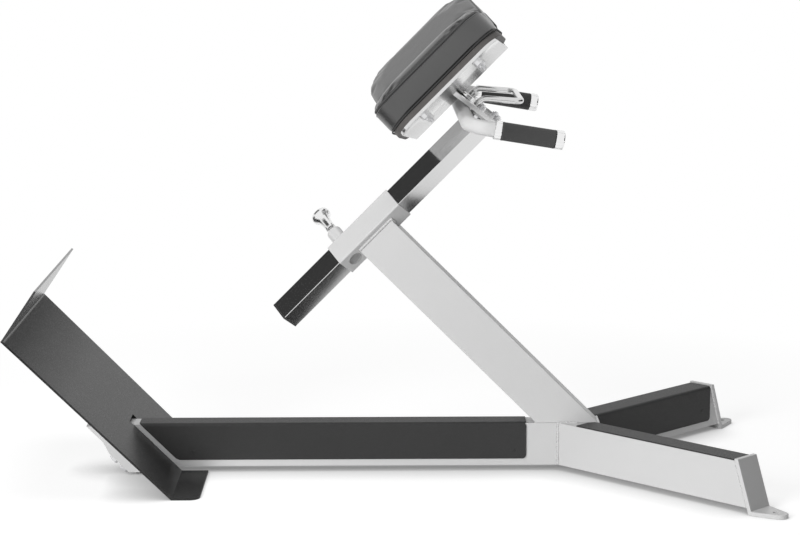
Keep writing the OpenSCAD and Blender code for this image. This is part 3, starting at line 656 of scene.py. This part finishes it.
class BENCH_OT_finish_covers(bpy.types.Operator):
    """Gives the dark sheet covers and the footplate their textured coats"""

    bl_idname = "bench.finish_covers"
    bl_label = "Finish Covers"

    def execute(self, context):
        colours = context.scene.bench_colours
        fine = textured_coat("fine_textured_coat", colours.cover, 900, 0.4)
        # The last argument is the coat weight of the painted sheen low on the footplate's face
        coarse = textured_coat("coarse_textured_coat", colours.footplate, 300, 0.5, 0.26)
        paint(["beam_cover", "leg_cover_left", "leg_cover_right"], fine, SHEET_EDGE)
        paint(["footplate"], coarse, FOLD_EDGE, 3)
        return {"FINISHED"}


class BENCH_OT_finish_plastic(bpy.types.Operator):
    """Gives the bushes, caps, rubber foot and pad boards their finishes"""

    bl_idname = "bench.finish_plastic"
    bl_label = "Finish Plastic and Boards"

    def execute(self, context):
        black = moulded_plastic("black_plastic", 0.03)
        paint(["bush_upper", "bush_lower", "post_end_cap"], black, PIN_EDGE)
        rubber = rubber_finish("foot_rubber", (0.025, 0.025, 0.025), 500)
        paint(["rubber_foot"], rubber, BOARD_EDGE)
        paint(["pad_board_left", "pad_board_right"], stained_plywood(), BOARD_EDGE)
        return {"FINISHED"}


class BENCH_OT_make_grips(bpy.types.Operator):
    """Builds the rubber grips with their grooved metal collars and end caps"""

    bl_idname = "bench.make_grips"
    bl_label = "Make Grips"

    def execute(self, context):
        colours, trim = context.scene.bench_colours, context.scene.bench_trim
        rubber = rubber_finish("grip_rubber", colours.rubber, 900)
        chrome = polished_metal("collar_chrome", 0.84, 0.06)
        collars, caps = bmesh.new(), bmesh.new()
        end = GRIP_LEN + CAP_LEN
        for side, word in SIDES:
            at = BAR @ move(GRIP_START, side * GRIP_SIDE, 0) @ turn(QUARTER, "Y")
            grip = turned([
                (BAR_R, 0.2 * MM), (GRIP_R - 1.2 * MM, 0.2 * MM), (GRIP_R - 0.3 * MM, 0.6 * MM),
                (GRIP_R, 1.6 * MM), (GRIP_R, 4 * MM), (GRIP_R - 0.25 * MM, 4.6 * MM),
                (GRIP_R - 0.25 * MM, GRIP_LEN - 4.6 * MM), (GRIP_R, GRIP_LEN - 4 * MM),
                (GRIP_R, GRIP_LEN - 1.6 * MM), (GRIP_R - 0.3 * MM, GRIP_LEN - 0.6 * MM),
                (GRIP_R - 1.2 * MM, GRIP_LEN - 0.2 * MM), (BAR_R, GRIP_LEN - 0.2 * MM),
                (BAR_R, 0.2 * MM)
            ], at)
            grip = add_piece("rubber_grip_" + word, grip, "post", rubber)
            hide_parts("grip_" + word)
            join(collars, turned([
                (BAR_R, -COLLAR_LEN), (COLLAR_R - 1.5 * MM, -COLLAR_LEN),
                (COLLAR_R - 0.4 * MM, 0.5 * MM - COLLAR_LEN), (COLLAR_R, 1.6 * MM - COLLAR_LEN),
                (COLLAR_R, -1.2 * MM), (COLLAR_R - 0.4 * MM, -0.3 * MM), (COLLAR_R - 1 * MM, 0),
                (BAR_R, 0), (BAR_R, -COLLAR_LEN)
            ], at, 96, trim.grooves))
            join(caps, turned([
                (0, GRIP_LEN), (COLLAR_R - 1 * MM, GRIP_LEN),
                (COLLAR_R - 0.3 * MM, GRIP_LEN + 0.4 * MM), (COLLAR_R, GRIP_LEN + 1.4 * MM),
                (COLLAR_R, end - 4 * MM), (COLLAR_R - 0.5 * MM, end - 2 * MM),
                (COLLAR_R - 1.8 * MM, end - 0.6 * MM), (COLLAR_R - 3.4 * MM, end),
                (COLLAR_R - 8 * MM, end - 0.2 * MM), (0, end - 0.8 * MM)
            ], at, 96, trim.grooves))
        collars = add_piece("grooved_collars", collars, "post", chrome)
        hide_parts("grip_collars")
        caps = add_piece("grooved_end_caps", caps, "post", chrome)
        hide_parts("grip_end_caps")
        return {"FINISHED"}


class BENCH_OT_make_plunger(bpy.types.Operator):
    """Turns the plunger's knob with its dished rim, and the access plug"""

    bl_idname = "bench.make_plunger"
    bl_label = "Make Plunger Knob and Plug"

    knob_profile = (
        (0, 71), (9.4, 71), (9.8, 71.6), (9.8, 79), (10.1, 86), (10.9, 93), (12.4, 99),
        (14.8, 103.6), (17.4, 106.8), (18.9, 109.2), (19.4, 111.6), (19.2, 114),
        (18.2, 116.2), (16.8, 117.2), (15.4, 116.8), (14.2, 115.4), (10, 114.2), (0, 114)
    )
    plug_profile = (
        (0, -23.3), (9.8, -23.3), (11.2, -23.6), (12, -24.9), (12.9, -25.2), (13.4, -24.9),
        (13.4, -23.2), (0, -23.1)
    )

    def execute(self, context):
        knob = turned([(r * MM, z * MM) for r, z in self.knob_profile], PLUNGER, 64)
        chrome = polished_metal("knob_chrome", 0.84, 0.2)
        knob = add_piece("dished_knob", knob, "plunger", chrome)
        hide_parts("plunger_knob")
        plug = turned([(r * MM, z * MM) for r, z in self.plug_profile], PLUNGER, 64)
        grey = moulded_plastic("grey_plastic", 0.3)
        plug = add_piece("dished_plug", plug, "frame", grey)
        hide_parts("access_plug")
        return {"FINISHED"}


class BENCH_OT_make_loop(bpy.types.Operator):
    """Bends the round rod of the loop handle"""

    bl_idname = "bench.make_loop"
    bl_label = "Make Loop Handle"

    def execute(self, context):
        lift = LOOP_LEG - LOOP_X * math.tan(CAP_TILT)
        ahead = Vector((math.sin(LOOP_LEAN), 0, math.cos(LOOP_LEAN)))
        hub = Vector((LOOP_BEND - LOOP_X, LOOP_HALF, LOOP_ROOT_V + lift))
        corner = Vector((-math.cos(LOOP_LEAN), -1, math.sin(LOOP_LEAN))) * LOOP_BEND
        corner += hub + LOOP_ARM * ahead
        near = [Vector((-LOOP_X, LOOP_HALF, LOOP_ROOT_V + LOOP_START))]
        near += [hub + LOOP_BEND * Vector((-math.cos(a), 0, math.sin(a)))
                 for a in np.linspace(0, LOOP_LEAN, 10)]
        near += [corner + LOOP_BEND * (math.cos(a) * Vector((0, 1, 0)) + math.sin(a) * ahead)
                 for a in np.linspace(0, QUARTER, 14)]
        path = near + [Vector((p.x, -p.y, p.z)) for p in reversed(near)]
        chrome = polished_metal("loop_chrome", 0.66, 0.14)
        rod = tube("loop_rod", [HEAD @ p for p in path], LOOP_R, "post",
                   chrome, fineness=6)
        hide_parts("loop_handle")
        return {"FINISHED"}


class BENCH_OT_make_screws(bpy.types.Operator):
    """Builds the cover screws with socket heads"""

    bl_idname = "bench.make_screws"
    bl_label = "Make Cover Screws"

    head_wall = 0.5 * MM
    head_slope = 0.7 * MM
    head_rim = 0.8 * MM
    socket_flat = 1.3 * MM
    socket_depth = 0.9 * MM

    def execute(self, context):
        whole = bmesh.new()
        spots = [PLACED @ move(x, side * TUBE_HALF, BEAM_SCREW_Z) @ turn(-side * QUARTER, "X")
                 for x in BEAM_SCREW_X for side in (-1, 1)]
        spots += [leg_space(side) @ move(LEG_SCREW_X, -side * TUBE_HALF, LEG_SCREW_Z)
                  @ turn(side * QUARTER, "X") for side in (-1, 1)]
        for spot in spots:
            join(whole, self.screw(spot))
        black = moulded_plastic("screw_black", 0.02)
        screws = add_piece("socket_screws", whole, "frame", black, smooth=False)
        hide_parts("cover_screws")
        return {"FINISHED"}

    def screw(self, spot):
        """A low head with a sloped rim and a six-sided socket."""
        bm = bmesh.new()
        bmesh.ops.create_circle(
            bm, cap_ends=True, segments=24, radius=SCREW_R, matrix=move(0, 0, COVER_T)
        )
        grown = bmesh.ops.extrude_face_region(bm, geom=list(bm.faces))["geom"]
        top = next(g for g in grown if isinstance(g, bmesh.types.BMFace))
        bmesh.ops.translate(bm, verts=top.verts, vec=(0, 0, self.head_wall))
        bmesh.ops.inset_region(bm, faces=[top], thickness=self.head_slope, depth=0)
        bmesh.ops.translate(bm, verts=top.verts, vec=(0, 0, self.head_wall))
        bmesh.ops.inset_region(bm, faces=[top], thickness=self.head_rim, depth=0)
        for vert in top.verts:
            angle = math.degrees(math.atan2(vert.co.y, vert.co.x)) % 60 - 30
            reach = self.socket_flat / math.cos(math.radians(angle))
            vert.co.xy = vert.co.xy.normalized() * reach
        hole = bmesh.ops.extrude_face_region(bm, geom=[top])["geom"]
        sunk = [g for g in hole if isinstance(g, bmesh.types.BMVert)]
        bmesh.ops.translate(bm, verts=sunk, vec=(0, 0, -self.socket_depth))
        bmesh.ops.delete(bm, geom=[top], context="FACES_ONLY")
        bm.transform(spot)
        return bm


class BENCH_OT_make_studs(bpy.types.Operator):
    """Builds the threaded studs that hold the pads"""

    bl_idname = "bench.make_studs"
    bl_label = "Make Pad Studs"

    def execute(self, context):
        whole = bmesh.new()
        root, crest, pitch = 3.5 * MM, 4 * MM, 1.25 * MM
        low, high = -BOARD_FACE + 0.5 * MM, STUD_END
        turns = int((high - low - 1.5 * MM) / pitch)
        profile = [(0, low), (root, low)]
        for i in range(turns):
            z = low + i * pitch
            profile += [(crest, z + pitch * 0.35), (crest, z + pitch * 0.5),
                        (root, z + pitch * 0.9)]
        profile += [(crest, high - 1.2 * MM), (crest - 0.8 * MM, high), (0, high)]
        for side, _ in SIDES:
            for y in STUD_Y:
                for z in (-STUD_Z, STUD_Z):
                    at = fold_space(side) @ move(0, y, z) @ turn(QUARTER, "Y")
                    join(whole, turned(profile, at, 20))
        zinc = zinc_plate()
        studs = add_piece("threaded_studs", whole, "post", zinc, smooth=False)
        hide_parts("pad_studs")
        return {"FINISHED"}


class BENCH_OT_make_welds(bpy.types.Operator):
    """Lays the weld beads where the steel pieces meet"""

    bl_idname = "bench.make_welds"
    bl_label = "Make Welds"

    def execute(self, context):
        material = weld_metal(context.scene.bench_colours.silver)
        radius = context.scene.bench_trim.weld
        for i, line in enumerate(self.lines()):
            tube("weld_%02d" % i, along(line, WELD_STEP), radius, "frame",
                 material, ripple=0.07)
        ring = [PLUNGER @ Vector((HOUSING_WELD_R * math.cos(a), HOUSING_WELD_R * math.sin(a),
                                  SLEEVE_HALF + 0.3 * MM))
                for a in np.linspace(0, 2 * math.pi, 120, endpoint=False)]
        tube("weld_housing", ring, radius * 0.7, "frame", material,
             closed=True, ripple=0.1)
        return {"FINISHED"}

    @staticmethod
    def lines():
        """The paths of the beads: legs, feet and sleeve on each side, then the column's foot."""
        half = TUBE_HALF
        leg_x = HUB_X - half * (ROOT2 - 1)
        joint = half * ROOT2 - half
        low_v, high_v = COLUMN_V
        made = []
        for side in (-1, 1):
            made.append([PLACED @ Vector(p) for p in (
                (leg_x, side * half, BEAM_LOW + 2 * MM),
                (leg_x, side * half, BEAM_TOP - 1 * MM),
                (leg_x + 38 * MM, side * half, BEAM_TOP - 0.5 * MM)
            )])
            low_x, high_x = (
                LEG_REACH - z * math.tan(FOOT_LEAN) - FOOT_RUN for z in (BEAM_LOW, BEAM_TOP)
            )
            for edge in (-half, half):
                made.append([leg_space(side) @ Vector(p) for p in (
                    (low_x, edge, BEAM_LOW), (high_x, edge, BEAM_TOP)
                )])
            made.append([POST @ Vector(p) for p in (
                (joint, side * half, low_v + 1 * MM),
                (joint, side * half, high_v + 1 * MM),
                (joint + 10 * MM, side * (half - 10 * MM), high_v + 0.5 * MM)
            )])
        for v in COLUMN_V:
            x = (v - BEAM_TOP * ROOT2 + v) / ROOT2
            made.append([PLACED @ Vector((x, y, BEAM_TOP))
                         for y in (-half + 2 * MM, half - 2 * MM)])
        return made


class BENCH_OT_make_pads(bpy.types.Operator):
    """Builds, fills and sews the two upholstered pads"""

    bl_idname = "bench.make_pads"
    bl_label = "Make Pads"

    def execute(self, context):
        sizes = context.scene.bench_pads
        vinyl, thread = pad_vinyl(context.scene.bench_colours.vinyl), sewing_thread()
        piping = rubber_finish("pad_piping", (0.03, 0.03, 0.03), 900)
        filled = self.fill(sizes)
        for side, word in SIDES:
            mesh = filled.copy()
            self.sew(mesh, sizes, side)
            tree = BVHTree.FromPolygons(
                [v.co.copy() for v in mesh.vertices], [list(p.vertices) for p in mesh.polygons]
            )
            bm = bmesh.new()
            bm.from_mesh(mesh)
            at = pad_space(side)
            pad = add_piece("upholstered_pad_" + word, bm, "post", vinyl, at)
            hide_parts("pad_" + word)
            self.stitch("pad_stitches_" + word, tree, sizes, side, thread)
            line = [at @ Vector((x, y, PIPING_R)) for x, y in self.outline(PIPING_INSET, 160)]
            tube("pad_piping_" + word, line, PIPING_R, "post", piping, closed=True)
        return {"FINISHED"}

    @staticmethod
    def outline(inset, count):
        """Points evenly round the pad's outline, moved in by inset."""
        w, l, r = PAD_W / 2 - PAD_R, PAD_L / 2 - PAD_R, PAD_R - inset
        arc = QUARTER * r
        corners = ((w, l), (-w, l), (-w, -l), (w, -l))
        straights = (2 * l, 2 * w, 2 * l, 2 * w)
        whole = 4 * (l + w + arc)
        made = []
        for i in range(count):
            s = whole * i / count
            k = 0
            while s > straights[k] + arc:
                s -= straights[k] + arc
                k += 1
            base, (cx, cy) = k * QUARTER, corners[k]
            if s > straights[k]:
                base += (s - straights[k]) / r
                made.append((cx + r * math.cos(base), cy + r * math.sin(base)))
            else:
                out_x, out_y = math.cos(base), math.sin(base)
                back = straights[k] - s
                made.append((cx + r * out_x + out_y * back, cy + r * out_y - out_x * back))
        return made

    @staticmethod
    def fill(sizes):
        """A pad's cover on its foam, swollen by pressure between its seams, in its own space."""
        slack = sizes.slack
        bm = bmesh.new()
        bmesh.ops.create_grid(bm, x_segments=1, y_segments=1, size=0.5)
        bmesh.ops.scale(bm, vec=(PAD_W - 2 * slack, PAD_L - 2 * slack, 1), verts=bm.verts)
        bmesh.ops.bevel(
            bm, geom=bm.verts, offset=PAD_R - slack, offset_type="OFFSET", affect="VERTICES",
            segments=14, profile=0.5, material=-1
        )
        grown = bmesh.ops.extrude_face_region(bm, geom=list(bm.faces))["geom"]
        top = next(g for g in grown if isinstance(g, bmesh.types.BMFace))
        bmesh.ops.translate(bm, verts=top.verts, vec=(0, 0, PAD_WALL))
        for inset, rise in PAD_SLOPES:
            bmesh.ops.inset_region(bm, faces=[top], thickness=inset, depth=0)
            bmesh.ops.translate(bm, verts=top.verts, vec=(0, 0, rise))
        bmesh.ops.recalc_face_normals(bm, faces=bm.faces)
        obj = new_object("pad_cover", bm)
        remesh = obj.modifiers.new("remesh", "REMESH")
        remesh.mode, remesh.voxel_size = "VOXEL", sizes.voxel
        settle(obj)
        rest = points_of(obj.data)
        held = obj.vertex_groups.new(name="sewn")
        for i, (x, y, z) in enumerate(rest):
            if z < 3 * MM or abs(z - PAD_WALL) < sizes.voxel * 0.6:
                held.add([i], 1.0, "REPLACE")
        cloth = obj.modifiers.new("cover", "CLOTH")
        cloth.settings.vertex_group_mass = held.name
        cloth.settings.use_pressure = True
        cloth.settings.uniform_pressure_force = sizes.pressure
        cloth.settings.effector_weights.gravity = 0
        cloth.settings.quality = 6
        cloth.point_cache.frame_start, cloth.point_cache.frame_end = 1, CLOTH_STEPS
        for step in range(1, CLOTH_STEPS + 1):
            bpy.context.scene.frame_set(step)
        settle(obj)
        bpy.context.scene.frame_set(1)
        gone = points_of(obj.data) - rest
        length = np.linalg.norm(gone, axis=1, keepdims=True)
        now = rest + gone * np.minimum(1, sizes.swell / np.maximum(length, 1e-9))
        obj.data.vertices.foreach_set("co", now.astype(np.float32).ravel())
        finer = obj.modifiers.new("finer", "SUBSURF")
        finer.levels = finer.render_levels = 2
        settle(obj)
        made = obj.data
        bpy.data.objects.remove(obj)
        return made

    @staticmethod
    def bell(distance, width):
        return math.exp(-((distance / width) ** 2))

    def sew(self, mesh, sizes, side):
        """Draws the cover in at its seams, creases it softly and records the seams for the
        painted shade in their grooves.
        """
        seam_shade_layer = mesh.attributes.new("seam", "FLOAT", "POINT")
        count = len(mesh.vertices)
        places, normals = np.empty(count * 3, np.float32), np.empty(count * 3, np.float32)
        mesh.vertices.foreach_get("co", places)
        mesh.vertex_normals.foreach_get("vector", normals)
        seam_shade_values, lifts = np.empty(count, np.float32), np.empty(count, np.float32)
        for i, (x, y, z) in enumerate(places.reshape(-1, 3).tolist()):
            rise = z - PAD_WALL
            seam = self.bell(rise, 1.3 * MM)
            foot = self.bell(z - 3.8 * MM, 1.2 * MM)
            lips = sum(self.bell(rise - at, 1.5 * MM) for at in (-3.2 * MM, 3.2 * MM))
            # How much painted shade each point gets in the seam grooves
            seam_shade_values[i] = min(1.0, 1.3 * max(seam, foot))
            loose = max(0.0, min(1.0, z / (8 * MM))) if z < PAD_WALL else 0.35
            broad = noise.noise(Vector((x * 26 + side * 9, y * 26, z * 12)))
            small = noise.noise(Vector((x * 70, y * 70 + side * 5, z * 22)))
            lift = (broad * 0.4 + small * 0.25) * MM * loose
            bend_x, bend_y = abs(x) - PAD_W / 2 + PAD_R, abs(y) - PAD_L / 2 + PAD_R
            if bend_x > 0 and bend_y > 0:
                angle = math.atan2(bend_y, bend_x)
                folds = math.sin(4 * angle) * math.cos(14 * angle + side)
                lift += sizes.gather * folds * self.bell(rise - 5 * MM, 7 * MM)
            lifts[i] = lips * 0.5 * MM + lift - (seam + foot * 0.8) * sizes.seam
        seam_shade_layer.data.foreach_set("value", seam_shade_values)
        mesh.vertices.foreach_set("co", places + normals * np.repeat(lifts, 3))
        mesh.update()

    def stitch(self, name, tree, sizes, side, thread):
        """Sews a row of stitches on either side of the top seam."""
        whole = bmesh.new()
        count = int(PAD_ROUND / (sizes.stitch + sizes.stitch_gap))
        shape = Matrix.Diagonal((sizes.stitch / 2, 0.4 * MM, 0.35 * MM, 1))
        for z in (PAD_WALL - 3.4 * MM, PAD_WALL + 3.2 * MM):
            ring = self.outline(0, count)
            for i, (x, y) in enumerate(ring):
                before, after = Vector(ring[i - 1]), Vector(ring[(i + 1) % count])
                ahead = (after - before).normalized().to_3d()
                inward = Vector((-ahead.y, ahead.x, 0))
                start = Vector((x, y, z)) - inward * 30 * MM
                hit, normal = tree.ray_cast(start, inward)[:2]
                if hit is None:
                    continue
                across = ahead.cross(normal)
                basis = Matrix((ahead, across, normal)).transposed().to_4x4()
                at = move(*(hit + normal * 0.15 * MM)) @ basis @ shape
                bmesh.ops.create_icosphere(whole, subdivisions=1, radius=1, matrix=at)
        add_piece(name, whole, "post", thread, pad_space(side))


class BENCH_OT_make_studio(bpy.types.Operator):
    """Sets up the floor, lamps and camera"""

    bl_idname = "bench.make_studio"
    bl_label = "Make Studio"

    def execute(self, context):
        studio, scene = context.scene.bench_studio, context.scene
        scene.view_settings.view_transform = "Standard"
        self.world(scene, studio.ambient)
        self.floor()
        self.lamp("key", studio.key, 2.4, (-2.6, -3.9, 1.8), (0, 0, 0.4))
        self.lamp("top", studio.top, 2.0, (-0.3, -0.2, 3.2), (0, 0, 0.3))
        self.cards()
        self.camera(scene, studio.lens)
        return {"FINISHED"}

    @staticmethod
    def camera(scene, lens):
        camera = bpy.data.objects.new("camera", bpy.data.cameras.new("camera"))
        scene.collection.objects.link(camera)
        camera.data.lens, camera.data.sensor_width = lens, 36
        camera.data.clip_start, camera.data.clip_end = 0.05, 200
        yaw, pitch, roll = CAMERA_YAW, CAMERA_PITCH, CAMERA_ROLL
        level = Vector((math.cos(yaw), -math.sin(yaw), 0))
        ahead = Vector((math.sin(yaw) * math.cos(pitch), math.cos(yaw) * math.cos(pitch),
                        -math.sin(pitch)))
        above = level.cross(ahead)
        right = level * math.cos(roll) + above * math.sin(roll)
        up = above * math.cos(roll) - level * math.sin(roll)
        facing = Matrix((right, up, -ahead)).transposed().to_4x4()
        camera.matrix_world = move(*CAMERA_AT) @ facing
        scene.camera = camera

    @staticmethod
    def world(scene, ambient):
        """White where it is seen or mirrored, and an even dim light on everything else."""
        scene.world = bpy.data.worlds.new("studio")
        sky = Nodes(scene.world)
        even = sky.add("Background", {}, {"Color": WHITE, "Strength": ambient})
        white = sky.add("Background", {}, {"Color": WHITE, "Strength": 1.0})
        mix = sky.add("MixShader", {}, {0: sky.seen(), 1: even, 2: white})
        sky.node("OutputWorld", {}, {"Surface": mix})

    @staticmethod
    def floor():
        """A pale floor with a painted contact shadow close under the bench, where its glow
        darkens with ambient occlusion, and that turns white further out.
        """
        bm = bmesh.new()
        bmesh.ops.create_circle(bm, cap_ends=True, segments=64, radius=60)
        floor = new_object("floor", bm)
        f = Finish("studio_floor")
        # Painted contact shadow: the glow darkens with ambient occlusion close under the bench
        touch = f.add("AmbientOcclusion", {"samples": 16}, {"Distance": 0.1}, output="AO")
        painted_contact_shadow = f.ramp(touch, (0.12, 0.22), (0.94, 1.0))
        lit = f.add("Emission", {}, {"Color": painted_contact_shadow, "Strength": 1.22})
        shaded = f.add("BsdfDiffuse", {}, {"Color": WHITE})
        near = f.add("MixShader", {}, {0: 0.35, 1: lit, 2: shaded})
        point = f.add("TexCoord", output="Object")
        gone = f.add("VectorMath", {"operation": "LENGTH"}, {0: point}, output="Value")
        white = f.add("Emission", {}, {"Color": WHITE, "Strength": 1.0})
        picture = f.add("MixShader", {}, {0: f.fade(gone, (0.9, 1.6)), 1: near, 2: white})
        plain = f.add("BsdfDiffuse", {}, {"Color": (0.9, 0.9, 0.9, 1)})
        shader = f.add("MixShader", {}, {0: f.seen(), 1: plain, 2: picture})
        f.node("OutputMaterial", {}, {"Surface": shader})
        f.material.cycles.emission_sampling = "NONE"
        floor.data.materials.append(f.material)

    @staticmethod
    def lamp(name, power, size, place, target):
        data = bpy.data.lights.new(name, "AREA")
        data.energy, data.shape, data.size = power, "DISK", size
        lit = bpy.data.objects.new(name, data)
        bpy.context.scene.collection.objects.link(lit)
        lit.location = place
        facing = (Vector(target) - Vector(place)).to_track_quat("-Z", "Y")
        lit.rotation_euler = facing.to_euler()
        lit.visible_glossy = False

    @staticmethod
    def cards():
        """Dark cards that only reflections see, as on the polished steel: painted dark
        reflections that neither light nor shade anything.
        """
        f = Finish("painted_reflection_card")
        dark = f.add("Emission", {}, {"Color": (0.05, 0.05, 0.05, 1)})
        f.node("OutputMaterial", {}, {"Surface": dark})
        f.material.cycles.emission_sampling = "NONE"
        for name, aim, start, rail, size in CARDS:
            aim, rail = Vector(aim).normalized(), Vector(rail).normalized()
            side = rail.cross(aim).normalized()
            facing = Matrix((rail, side, rail.cross(side))).transposed().to_4x4()
            bm = bmesh.new()
            bmesh.ops.create_grid(bm, x_segments=1, y_segments=1, size=0.5)
            bmesh.ops.scale(bm, vec=(*size, 1), verts=bm.verts)
            bm.transform(move(*(Vector(start) + aim * CARD_DISTANCE)) @ facing)
            card = new_object(name, bm)
            card.data.materials.append(f.material)
            # Hidden from the camera, from diffuse light and from shadows: the cards give only
            # painted dark reflections
            card.visible_camera = card.visible_diffuse = card.visible_shadow = False


class BENCH_PT_panel(bpy.types.Panel):
    """Lists the bench's sizes, colours and steps"""

    bl_idname = "BENCH_PT_panel"
    bl_label = "Hyperextension Bench"
    bl_space_type = "VIEW_3D"
    bl_region_type = "UI"
    bl_category = "Bench"

    def draw(self, context):
        for group, name in GROUPS.items():
            box = self.layout.box()
            box.label(text=group.__doc__)
            for key in group.__annotations__:
                box.prop(getattr(context.scene, name), key)
        for step in STEPS:
            self.layout.operator(step.bl_idname)


GROUPS = {
    BenchColours: "bench_colours",
    BenchPads: "bench_pads",
    BenchTrim: "bench_trim",
    BenchStudio: "bench_studio",
}
STEPS = (
    BENCH_OT_make_studio,
    BENCH_OT_finish_steel,
    BENCH_OT_finish_covers,
    BENCH_OT_finish_plastic,
    BENCH_OT_make_grips,
    BENCH_OT_make_plunger,
    BENCH_OT_make_loop,
    BENCH_OT_make_screws,
    BENCH_OT_make_studs,
    BENCH_OT_make_welds,
    BENCH_OT_make_pads,
)


def register():
    for group, name in GROUPS.items():
        bpy.utils.register_class(group)
        setattr(bpy.types.Scene, name, PointerProperty(type=group))
    for step in (*STEPS, BENCH_PT_panel):
        bpy.utils.register_class(step)


def unregister():
    for step in reversed((*STEPS, BENCH_PT_panel)):
        bpy.utils.unregister_class(step)
    for group, name in GROUPS.items():
        delattr(bpy.types.Scene, name)
        bpy.utils.unregister_class(group)


def main():
    register()
    for step in STEPS:
        family, name = step.bl_idname.split(".")
        getattr(getattr(bpy.ops, family), name)()


if __name__ == "__main__":
    main()
